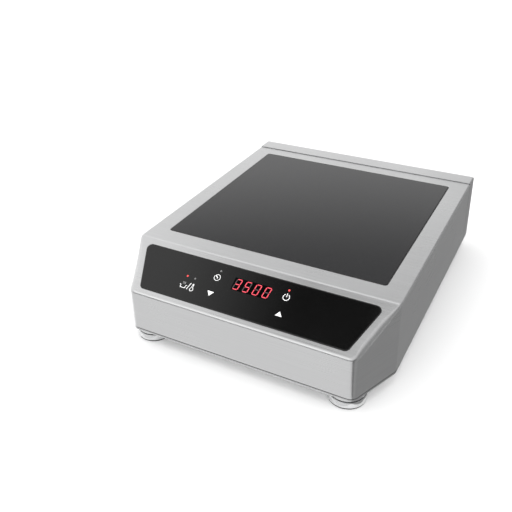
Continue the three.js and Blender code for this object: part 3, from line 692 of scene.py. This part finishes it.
def bent_shell(name, path, outward, top, edge, steps=8):
    """Sheet bent round a symmetric open path in plan, with a top whose edge rolls into the walls."""
    normals = []
    for k, point in enumerate(path):
        along = (path[min(k + 1, len(path) - 1)] - point).normalized()
        along += (point - path[max(k - 1, 0)]).normalized()
        normals.append(Vector((along.y, -along.x)).normalized() * outward)
    loops = [[(p.x, p.y, SKIRT) for p in path]]
    for step in range(steps + 1):
        angle = math.pi / 2 * step / steps
        loop = []
        for point, normal in zip(path, normals):
            reach = edge(point, normal)
            here = point - normal * reach * (1 - math.cos(angle))
            loop.append((here.x, here.y, top(here.y) - reach * (1 - math.sin(angle))))
        loops.append(loop)
    bm = bmesh.new()
    rings = [[bm.verts.new(point) for point in loop] for loop in loops]
    for near, far in zip(rings, rings[1:]):
        for k in range(len(path) - 1):
            bm.faces.new((near[k], near[k + 1], far[k + 1], far[k]))
    inner = rings[-1]
    for k in range(len(path) // 2 - 1):
        bm.faces.new((inner[k], inner[k + 1], inner[-2 - k], inner[-1 - k]))
    shell = finish_mesh(bm, name, finishes["brushed_steel"], weighted=False)
    if shell.data.polygons[len(shell.data.polygons) - 1].normal.z < 0:
        shell.data.flip_normals()
    sheet = shell.modifiers.new("sheet", "SOLIDIFY")
    sheet.thickness = SHEET
    sheet.offset = -1
    sheet.use_even_offset = True
    apply_modifiers(shell)
    return shell


def upper_housing():
    """Bent stainless sheet, open below and behind, cut for the two panes."""
    straight = FOLD + SHOULDER_REACH
    plan = [
        (-HALF, JOINT, 0),
        (-HALF, straight, 0),
        (-HALF, FOLD, SHOULDER_BEND),
        (-FRONT_HALF, FRONT, FRONT_CORNER),
    ]
    plan += [(-x, y, r) for x, y, r in reversed(plan)]
    path = divided(open_path(plan, 10), 4 * MM, straight)
    housing = bent_shell("housing_shell", path, 1, housing_top, housing_edge)

    cutters = bmesh.new()
    add_prism(cutters, glass_outline(SEAL), DECK - CUT_REACH, DECK + CUT_REACH)
    add_prism(cutters, panel_outline(PANEL_SEAL), -CUT_REACH, CUT_REACH, SLOPE)
    carve(housing, cutters)
    unslope = SLOPE.inverted()

    def rim(edge):
        """Whether an edge runs round one of the two openings, on the outside."""
        if edge.calc_face_angle() < RIM_TURN:
            return False
        middle = (edge.verts[0].co + edge.verts[1].co) / 2
        on_slope = unslope @ middle
        inside = abs(middle.x) < HALF - WALL_CLEAR and middle.y < JOINT - WALL_CLEAR
        deck_rim = abs(middle.z - DECK) < NEAR and inside
        slope_rim = abs(on_slope.z) < NEAR and abs(on_slope.x) < PANEL_HIGH_HALF + PANEL_CLEAR
        return deck_rim or slope_rim

    bevel_edges(housing, rim, RIM_ROUND)
    shade(housing)
    stand_for(housing, "root", "brushed_steel", "upper_housing")


def louvre(x, z):
    """A louvre's outline, its ends all but half round."""
    left, right = x - LOUVRE_HALF_LENGTH, x + LOUVRE_HALF_LENGTH
    low, high = z - LOUVRE_HALF_HEIGHT, z + LOUVRE_HALF_HEIGHT
    r = 0.98 * LOUVRE_HALF_HEIGHT
    return outline([(left, low, r), (right, low, r), (right, high, r), (left, high, r)], 4)


def middle_of(node):
    """The middle of a node's box across and up, and how far it reaches to the rear."""
    low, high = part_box(node)
    return (low[0] + high[0]) / 2, (low[2] + high[2]) / 2, high[1]


def rear_cover():
    """The rear shell: a proud top flange, rounded rear corners, louvres and a cable hole."""
    front = JOINT + GROOVE
    plan = [(-HALF, front, 0), (-HALF, REAR, REAR_CORNER), (HALF, REAR, REAR_CORNER), (HALF, front, 0)]
    path = open_path(plan, 8)
    cover = bent_shell("rear_shell", path, -1, lambda y: COVER_TOP, lambda point, normal: COVER_EDGE)

    upright = Matrix.Rotation(math.pi / 2, 4, "X")
    through = (-REAR - CUT_REACH, -REAR + CUT_REACH, upright)
    cutters = bmesh.new()
    for bank in LOUVRE_BANKS:
        for row in range(LOUVRE_ROWS):
            add_prism(cutters, louvre(bank, LOUVRE_LOW + row * LOUVRE_PITCH), *through)
    gland_x, gland_z, _ = middle_of("cable_gland")
    add_prism(cutters, [Vector(point) for point in circle((gland_x, gland_z), GLAND_HOLE, 48)], *through)
    carve(cover, cutters)

    def slot_rim(edge):
        """Whether an edge runs round an opening in the rear face, on the outside."""
        middle = (edge.verts[0].co + edge.verts[1].co) / 2
        inside = abs(middle.x) < HALF - WALL_CLEAR and SKIRT + WALL_CLEAR < middle.z < COVER_TOP - WALL_CLEAR
        return abs(middle.y - REAR) < NEAR and inside and edge.calc_face_angle() > RIM_TURN

    bevel_edges(cover, slot_rim, LOUVRE_ROUND, 2)
    add_lip(cover, front)
    shade(cover)
    stand_for(cover, "root", "brushed_steel", "rear_cover")


def add_lip(cover, front):
    """The lip that the cover slides under the housing's rear edge, joined on by a web."""
    def frame_loop(inset, y, top):
        """The lip's path up one side, across and down the other, at a depth."""
        side = HALF - inset
        return [(-side, y, SKIRT), (-side, y, top), (side, y, top), (side, y, SKIRT)]

    gap = SHEET + LIP_GAP
    outer_top = DECK - gap
    loops = [
        frame_loop(SHEET, front + SHEET, COVER_TOP - SHEET),
        frame_loop(SHEET, front + WEB_INSET, COVER_TOP - SHEET),
        frame_loop(gap, front + WEB_INSET, outer_top),
        frame_loop(gap, front - LIP_LAP, outer_top),
        frame_loop(gap + SHEET, front - LIP_LAP, outer_top - SHEET),
        frame_loop(gap + SHEET, front + SHEET, outer_top - SHEET),
    ]
    bm = bmesh.new()
    bm.from_mesh(cover.data)
    rings = [[bm.verts.new(point) for point in loop] for loop in loops]
    made = []
    for near, far in zip(rings, rings[1:] + rings[:1]):
        for i in range(3):
            made.append(bm.faces.new((near[i], near[i + 1], far[i + 1], far[i])))
    for end in (0, 3):
        made.append(bm.faces.new([ring[end] for ring in rings]))
    bmesh.ops.recalc_face_normals(bm, faces=made)
    bm.to_mesh(cover.data)
    bm.free()


def tray_hem():
    """The base tray's folded hem: the bright line under the skirt."""
    profile = [(grow * MM, TRAY_UNDER + height * MM) for grow, height in HEM_EDGE]
    hem = slab("tray_hem", lambda grow: plan_outline(HEM_INSET - grow), profile, "brushed_steel", closed=True)
    stand_for(hem, "root", "brushed_steel")


# ---- glass ----

def pane_profile(low, high, soft):
    """A ground pane edge: a small chamfer below and a soft one above."""
    return [
        (-0.5 * MM, low),
        (0, low + 0.5 * MM),
        (0, high - soft),
        (-0.12 * soft, high - 0.6 * soft),
        (-0.4 * soft, high - 0.22 * soft),
        (-0.75 * soft, high - 0.04 * soft),
        (-1.1 * soft, high),
    ]


def bead_profile(inner, outer, low, high):
    """A sealant bead: flat below, slightly hollow on top."""
    middle = (inner + outer) / 2
    return [(inner, low), (outer, low), (outer, high), (middle, high - BEAD_SAG), (inner, high)]


def cooking_surface():
    """The cooking glass in its bead of sealant, level in the deck."""
    low, high = glass_low[2], glass_high[2]
    glass = slab("cooking_pane", glass_outline, pane_profile(low, high, COOKING_GLASS_SOFT), "cooking_glass")
    stand_for(glass, "root", "cooking_glass", "cooking_glass")
    profile = bead_profile(BEAD_GAP, SEAL, low, DECK)
    bead = slab("cooking_bead", glass_outline, profile, "silicone", closed=True)
    stand_for(bead, "root", "silicone", "glass_seal")


def control_surface():
    """The touch panel's glass in its bead, on the slope."""
    low, high = GLASS_PROUD - PANEL_THICK, GLASS_PROUD
    glass = slab("control_pane", panel_outline, pane_profile(low, high, PANEL_SOFT), "control_glass", SLOPE)
    stand_for(glass, "root", "control_glass", "control_glass")
    profile = bead_profile(BEAD_GAP, PANEL_SEAL, low, 0)
    bead = slab("control_bead", panel_outline, profile, "silicone", SLOPE, closed=True)
    stand_for(bead, "root", "silicone", "control_gasket")


# ---- what is printed and lit on the control glass ----

LAYER_STEP = 0.01 * MM
INK_THICK = 0.04 * MM
SHARPEST_MITRE = 0.4


class Marks:
    """Thin flat marks on the control glass, drawn in millimetres: x across, y up the slope."""

    def __init__(self, layer=1):
        self.bm = bmesh.new()
        self.low = GLASS_PROUD + LAYER_STEP * layer
        self.high = self.low + INK_THICK

    def fill(self, points):
        """A filled outline."""
        scaled = [Vector((x * MM, y * MM)) for x, y in points]
        add_prism(self.bm, scaled, self.low, self.high, SLOPE)

    def stroke(self, points, width):
        """A band of even width along a line of points."""
        path = [Vector(point) for point in points]
        left, right = [], []
        for i, point in enumerate(path):
            ahead = path[min(i + 1, len(path) - 1)] - point
            behind = point - path[max(i - 1, 0)]
            heading = (ahead.normalized() + behind.normalized()).normalized()
            bend = max(heading.dot((ahead if ahead.length else behind).normalized()), SHARPEST_MITRE)
            offset = Vector((-heading.y, heading.x)) * width / 2 / bend
            left.append(point + offset)
            right.append(point - offset)
        self.fill(left + right[::-1])

    def arc(self, centre, radius, start, end, width, steps=28):
        """A band along an arc between two angles in degrees."""
        angles = [math.radians(start + (end - start) * i / steps) for i in range(steps + 1)]
        points = [(centre[0] + radius * math.cos(a), centre[1] + radius * math.sin(a)) for a in angles]
        self.stroke(points, width)

    def disc(self, centre, radius):
        """A filled circle."""
        self.fill(circle(centre, radius, 32))

    def piece(self, name, material, slot):
        """Ends the drawing as one piece."""
        made = finish_mesh(self.bm, name, material, weighted=False)
        stand_for(made, "root", slot)


def printed_symbols():
    """White touch-key symbols: power, timer, less, more, and a pot or temperature choice."""
    ink = Marks()
    # power
    ink.arc((46.4, 47.3), 3.8, 118, 422, 0.8)
    ink.stroke([(46.4, 47.6), (46.4, 52.2)], 0.85)
    # timer
    ink.arc((-43.3, 47.4), 3.9, 150, 480, 0.65)
    ink.stroke([(-42.5, 46.6), (-45.9, 50.4)], 1.1)
    # less and more
    ink.fill([(-42.9, 22.8), (-38.6, 28.9), (-47.2, 28.9)])
    ink.fill([(42.3, 23.5), (50.4, 23.5), (46.3, 29.2)])
    # the stroke between pot and thermometer
    ink.stroke([(-73.9, 22.6), (-71.2, 31.8)], 0.8)
    # pot with its two handles
    pot = [(-83.2, 27.0), (-83.2, 24.6), (-82.5, 23.6), (-77.2, 23.6), (-76.5, 24.6), (-76.5, 27.0)]
    ink.stroke(pot, 0.75)
    ink.stroke([(-84.7, 27.2), (-83.5, 27.2)], 0.8)
    ink.stroke([(-76.2, 27.2), (-75.0, 27.2)], 0.8)
    # thermometer
    ink.arc((-67.6, 24.2), 2.1, 112, 428, 0.7)
    ink.stroke([(-68.4, 26.3), (-68.4, 30.4), (-67.6, 31.2), (-66.8, 30.4), (-66.8, 26.3)], 0.65)
    ink.disc((-67.6, 30.2), 0.55)
    ink.piece("panel_symbols", print_finish("white_ink", (0.82, 0.82, 0.82)), "control_glass")

    steam = Marks()
    for x in (-81.3, -79.8, -78.3):
        steam.stroke([(x, 28.3), (x + 0.35, 29.3), (x - 0.35, 30.3), (x, 31.3)], 0.45)
    steam.piece("steam_marks", print_finish("grey_ink", (0.3, 0.3, 0.3)), "control_glass")


# The display in millimetres. Each digit's cell runs from its lower left corner, and the letters are
# the usual seven-segment ones.
DIGIT_WIDTH = 7.4
DIGIT_HEIGHT = 14.0
DIGIT_PITCH = 12.6365
SEGMENT = 1.15
SEGMENT_GAP = 0.25
SLANT = math.tan(math.radians(8))
WINDOW_LEFT = -21.3
WINDOW_RIGHT = 26.3
WINDOW_LOW = 38.1
WINDOW_HIGH = 54.0
FIRST_DIGIT = (-20.1, 39.0)
POWER_LAMP = (46.5, 56.3)
POT_LAMP = (-80.2, 39.1)
TIMER_LAMP = (-42.3, 56.5)
TEMPERATURE_LAMP = (-69.3, 38.4)
LIT_RADIUS = 1.25
UNLIT_RADIUS = 1.15
SEGMENT_ENDS = {
    "a": ((0, 2), (1, 2)),
    "b": ((1, 2), (1, 1)),
    "c": ((1, 1), (1, 0)),
    "d": ((0, 0), (1, 0)),
    "e": ((0, 1), (0, 0)),
    "f": ((0, 2), (0, 1)),
    "g": ((0, 1), (1, 1)),
}
LIT = {"0": "abcdef", "3": "abcdg", "5": "acdfg"}


def segment_points(corner, letter):
    """A segment's six corners, slanted with its digit."""
    ends = []
    for column, row in SEGMENT_ENDS[letter]:
        x = SEGMENT / 2 + column * (DIGIT_WIDTH - SEGMENT)
        y = SEGMENT / 2 + row * (DIGIT_HEIGHT - SEGMENT) / 2
        ends.append(Vector((x, y)))
    along = (ends[1] - ends[0]).normalized()
    across = Vector((-along.y, along.x)) * SEGMENT / 2
    start = ends[0] + along * SEGMENT_GAP
    end = ends[1] - along * SEGMENT_GAP
    tip = along * SEGMENT / 2
    flat = [start, start + tip + across, end - tip + across, end, end - tip - across, start + tip - across]
    return [(corner[0] + p.x + p.y * SLANT, corner[1] + p.y) for p in flat]


def display(digits="3500"):
    """The lit red digits, their unlit segments and the dark window behind them."""
    window = Marks(0)
    corners = [(WINDOW_LEFT, WINDOW_LOW), (WINDOW_RIGHT, WINDOW_LOW)]
    corners += [(WINDOW_RIGHT, WINDOW_HIGH), (WINDOW_LEFT, WINDOW_HIGH)]
    window.fill(corners)
    window.piece("display_window", display_window_finish(), "control_glass")
    lit, unlit = Marks(5), Marks(5)
    for place, digit in enumerate(digits):
        corner = (FIRST_DIGIT[0] + place * DIGIT_PITCH, FIRST_DIGIT[1])
        for letter in SEGMENT_ENDS:
            target = lit if letter in LIT[digit] else unlit
            target.fill(segment_points(corner, letter))
    lit.piece("lit_segments", glow_finish("lit_red", (0.8, 0.07, 0.105), 0.75), "lens_red")
    unlit.piece("unlit_segments", print_finish("unlit_grey", (0.06, 0.038, 0.042)), "lens_clear")


def indicator_lamps():
    """Two lamps lit red and two unlit, beside the keys they belong to."""
    lit, unlit = Marks(), Marks()
    for centre in (POWER_LAMP, POT_LAMP):
        lit.disc(centre, LIT_RADIUS)
    for centre in (TIMER_LAMP, TEMPERATURE_LAMP):
        unlit.disc(centre, UNLIT_RADIUS)
    lit.piece("lit_lamps", glow_finish("lamp_red", (0.75, 0.06, 0.06), 0.9), "lens_red")
    unlit.piece("unlit_lamps", print_finish("lamp_grey", (0.16, 0.16, 0.16)), "lens_clear")


# ---- feet, gland and screws ----

OUTWARD = Matrix.Rotation(-math.pi / 2, 4, "X")
DOWNWARD = Matrix.Rotation(math.pi, 4, "X")
GLAND_RIBS = 20
RIB_HEIGHT = 0.25 * MM


def feet():
    """Turned steel collars and screw feet on rubber pads."""
    kinds = {"collar": (COLLAR, "turned_steel"), "stud": (STUD, "turned_steel"), "pad": (PAD, "foot_rubber")}
    for corner in ("front_left", "front_right", "rear_left", "rear_right"):
        low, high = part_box(f"foot_pad_{corner}")
        place = ((low[0] + high[0]) / 2, (low[1] + high[1]) / 2, 0)
        for kind, (points, slot) in kinds.items():
            node = f"foot_{kind}_{corner}"
            piece = turned(f"turned_{kind}_{corner}", points, finishes[slot], place)
            stand_for(piece, "root" if kind == "collar" else node, slot, node)


def cable_gland():
    """A nylon gland with a ribbed dome nut, its bore left empty."""
    x, z, end = middle_of("cable_gland")
    proud = (end - REAR) / MM
    points = [
        (5, -13, 0),
        (8, -13, 0.4),
        (8, 0.1, 0),
        (11.6, 0.1, 0.3),
        (11.6, 4, 0.4),
        (10.3, 4.2, 0),
        (10.3, proud - 3.2, 0.8),
        (7.6, proud, 1.2),
        (5.4, proud, 0.3),
        (5, proud - 0.5, 0),
    ]

    def ribs(angle, radius, height):
        """Grip ribs round the dome nut."""
        ribbed = 10 * MM < radius and 4.1 * MM < height
        return RIB_HEIGHT * math.cos(GLAND_RIBS * angle) if ribbed else 0

    gland = turned("nylon_gland", points, finishes["black_plastic"], (x, REAR, z), OUTWARD, 160, ribs)
    stand_for(gland, "root", "black_plastic", "cable_gland")


def screw(name, place, turn, head, shank_end):
    """A pan-head screw with a cross recess."""
    points = [
        (0, shank_end, 0),
        (SCREW_SHANK, shank_end, 0.4),
        (SCREW_SHANK, 0.1, 0),
        (SCREW_HEAD, 0.1, 0.15),
        (SCREW_HEAD, head * 0.55, 0.6),
        (0.6 * SCREW_HEAD, head, 0.8),
        (0, head, 0),
    ]
    piece = turned(name, points, finishes["turned_steel"], (0, 0, 0), sides=48)
    apply_modifiers(piece)
    x, y = RECESS_HALF_LENGTH * MM, RECESS_HALF_WIDTH * MM
    arm = [Vector(corner) for corner in ((-x, -y), (x, -y), (x, y), (-x, y))]
    for quarter in (0, math.pi / 2):
        cutter = bmesh.new()
        floor = (head - RECESS_DEPTH) * MM
        add_prism(cutter, arm, floor, floor + CUT_REACH, Matrix.Rotation(quarter, 4, "Z"))
        carve(piece, cutter)
    shade(piece)
    piece.matrix_world = Matrix.Translation(place) @ turn
    return piece


def screws():
    """Four rear screws from the CAD, and eight more that hold the tray from below."""
    for i in range(1, 5):
        x, z, _ = middle_of(f"rear_screw_{i}")
        piece = screw(f"rear_panhead_{i}", (x, REAR, z), OUTWARD, REAR_HEAD_HEIGHT, REAR_SHANK_END)
        stand_for(piece, "root", "turned_steel", f"rear_screw_{i}")
    side = HALF - BASE_SCREW_INSET
    places = [(x, y) for x in (-side, side) for y in BASE_SCREW_DEPTHS]
    places += [(x, FRONT + BASE_SCREW_INSET) for x in (-BASE_SCREW_FRONT, BASE_SCREW_FRONT)]
    for i, (x, y) in enumerate(places, 1):
        place = (x, y, TRAY_UNDER)
        piece = screw(f"base_panhead_{i}", place, DOWNWARD, BASE_HEAD_HEIGHT, BASE_SHANK_END)
        stand_for(piece, "root", "turned_steel")


# ---- pieces that keep their CAD shape ----

def finish_kept_nodes():
    """Gives every CAD node its slot's material."""
    slots = {row["node"]: row["material_slot"] for row in frame["record"]["subparts"]}
    for node, piece in frame["nodes"].items():
        piece.data.materials.clear()
        piece.data.materials.append(finishes[slots[node]])


# ---- floor and light ----

FLOOR_REACH = 6
DOME_RADIUS = 4
SURROUND_BRIGHTNESS = 1.35
CARD_REACH = 1.6
CARD_RAY = 1.5
CARD_RAY_ANGLES = (-70, -46, -8)
CARD_CLEAR = 2 * MM
CARD_STEP = 0.5 * MM


def floor_finish():
    """A matt pale floor that can be looked through from below."""
    finish = Finish("pale_floor", (0.9, 0.9, 0.9))
    finish.shader.inputs["Roughness"].default_value = 0.9
    finish.shader.inputs["Specular IOR Level"].default_value = 0.1
    side = finish.node("ShaderNodeNewGeometry")
    clear = finish.node("ShaderNodeBsdfTransparent")
    mixed = finish.node("ShaderNodeMixShader")
    finish.link(side.outputs["Backfacing"], mixed.inputs[0])
    finish.link(finish.shader.outputs[0], mixed.inputs[1])
    finish.link(clear.outputs[0], mixed.inputs[2])
    finish.link(mixed.outputs[0], finish.tree.nodes["Material Output"].inputs["Surface"])
    return finish.material


def stage_only(piece, seen=True):
    """Shows a piece to all rays if it is seen, and hides it from all but reflections if it isn't."""
    piece.visible_camera = seen
    piece.visible_diffuse = seen
    piece.visible_shadow = seen
    piece.visible_transmission = seen


def flat_piece(name, corners, height, material):
    """A flat sheet at a height, between corners in plan."""
    mesh = bpy.data.meshes.new(name)
    mesh.from_pydata([(x, y, height) for x, y in corners], [], [range(len(corners))])
    mesh.materials.append(material)
    return add_object(name, mesh)


def glow(finish, strength):
    """Makes a finish shine white, by a number or by a node's output."""
    finish.shader.inputs["Emission Color"].default_value = (1, 1, 1, 1)
    finish.feed([finish.shader.inputs["Emission Strength"]], [strength])


def studio_card(name, corners, layer, brightness):
    """A card on the floor that only reflections show. Higher layers lie over lower ones."""
    finish = Finish(name, (0, 0, 0))
    glow(finish, brightness)
    stage_only(flat_piece(name, corners, layer * CARD_STEP, finish.material), seen=False)


def studio_cards():
    """Toned cards on the floor in front of the hob, off its front right corner and along its right side."""
    side = HALF + CARD_CLEAR
    near = FRONT - CARD_CLEAR
    foot = FRONT_HALF + CARD_CLEAR + MM
    right = [(foot, FRONT), (CARD_REACH, FRONT - 0.3), (CARD_REACH, 1.4), (side, 1.4), (side, FOLD)]
    studio_card("right_card", right, 4, 0.27)
    corner = (FRONT_HALF + 7 * MM, near)
    rays = [
        (corner[0] + CARD_RAY * math.cos(math.radians(a)), corner[1] + CARD_RAY * math.sin(math.radians(a)))
        for a in CARD_RAY_ANGLES
    ]
    beside = (corner[0] + MM, corner[1])
    front = [(-CARD_REACH, -CARD_REACH), rays[0], corner, (-CARD_REACH, near)]
    studio_card("front_card", front, 1, 0.78)
    studio_card("corner_card", [corner, rays[0], rays[1], beside], 3, 0.08)
    studio_card("cheek_card", [corner, rays[1], rays[2], beside], 2, 0.33)


def studio_dome():
    """The studio round the hob as glossy surfaces see it: white, with dimmer and dark parts."""
    finish = Finish("studio_dome", (0, 0, 0))
    direction = finish.node("ShaderNodeVectorMath", operation="NORMALIZE")
    finish.link(finish.coords.outputs["Object"], direction.inputs[0])

    def along(axis):
        """How far a point of the dome lies along an axis, from -1 to 1."""
        made = finish.node("ShaderNodeVectorMath", operation="DOT_PRODUCT")
        made.inputs[1].default_value = axis
        finish.link(direction.outputs[0], made.inputs[0])
        return made.outputs["Value"]

    def rise(value, start, end):
        """0 on one side of start, 1 on the other side of end, smooth between."""
        made = finish.node("ShaderNodeMapRange", interpolation_type="SMOOTHSTEP")
        made.inputs["From Min"].default_value = start
        made.inputs["From Max"].default_value = end
        finish.link(value, made.inputs["Value"])
        return made.outputs["Result"]

    def both(first, *others):
        """Where all of several zones overlap."""
        for other in others:
            first = finish.math("MULTIPLY", first, other)
        return first

    across, back, up = along((1, 0, 0)), along((0, 1, 0)), along((0, 0, 1))
    overhead = rise(up, 0.6, 0.7)
    front = rise(back, -0.4, -0.65)
    zones = [
        # dim to the right
        (finish.math("MAXIMUM", rise(along((0.87, 0.5, 0)), 0.3, 0.6), rise(across, 0.1, 0.7)), 0.3),
        # dimmer high up behind, where the cooking glass looks
        (both(rise(up, 0.4, 0.58), rise(back, 0.5, 0.7)), 0.5),
        # paler overhead to the right, where the bends beside the panel look
        (both(rise(across, -0.15, 0.0), rise(across, 0.5, 0.2), overhead), 0.68),
        # dark overhead, where the touch panel looks
        (both(overhead, rise(across, -0.54, -0.3), rise(across, -0.1, -0.2),
              rise(back, -0.34, -0.24), rise(back, 0.04, -0.06)), 0.02),
        # bright in front, where the front bend looks
        (both(front, rise(up, 0.75, 0.5), rise(across, 0.1, -0.1)), 1.5),
        # dark low down in front, for the line under that bend
        (both(front, rise(up, 0.42, 0.2)), 0.05),
    ]
    brightness = 1.0
    for zone, tone in zones:
        brightness = finish.blend(zone, brightness, tone)
    glow(finish, brightness)
    bm = bmesh.new()
    bmesh.ops.create_uvsphere(bm, u_segments=64, v_segments=32, radius=DOME_RADIUS)
    dome = add_object("studio_dome", mesh_from(bm, "studio_dome"))
    dome.data.materials.append(finish.material)
    stage_only(dome, seen=False)


def area_light(name, place, aim, size, power):
    """A rectangular lamp that reflections don't show."""
    data = bpy.data.lights.new(name, "AREA")
    data.shape = "RECTANGLE"
    data.size, data.size_y = size
    data.energy = power
    light = add_object(name, data)
    light.visible_glossy = False
    heading = Vector(aim) - Vector(place)
    light.matrix_world = Matrix.Translation(place) @ heading.to_track_quat("-Z", "Y").to_matrix().to_4x4()


def studio():
    """A pale floor under an even white surround, two soft lamps, and what gloss reflects."""
    corners = [(-FLOOR_REACH, -FLOOR_REACH), (FLOOR_REACH, -FLOOR_REACH)]
    corners += [(FLOOR_REACH, FLOOR_REACH), (-FLOOR_REACH, FLOOR_REACH)]
    stage_only(flat_piece("floor", corners, 0, floor_finish()))
    world = bpy.data.worlds.new("surround")
    world.use_nodes = True
    background = world.node_tree.nodes["Background"]
    background.inputs["Color"].default_value = (1, 1, 1, 1)
    background.inputs["Strength"].default_value = SURROUND_BRIGHTNESS
    bpy.context.scene.world = world
    area_light("key", (-1.2, -0.6, 1.9), (0, 0, 0.05), (1.6, 1.6), 5)
    area_light("low_fill", (0.3, -1.3, 0.16), (0, -0.1, 0), (2.0, 0.25), 16)
    studio_dome()
    studio_cards()
    bpy.context.scene.view_settings.view_transform = "Standard"


place_camera()
studio()
finish_kept_nodes()
upper_housing()
rear_cover()
tray_hem()
cooking_surface()
control_surface()
printed_symbols()
display()
indicator_lamps()
feet()
cable_gland()
screws()
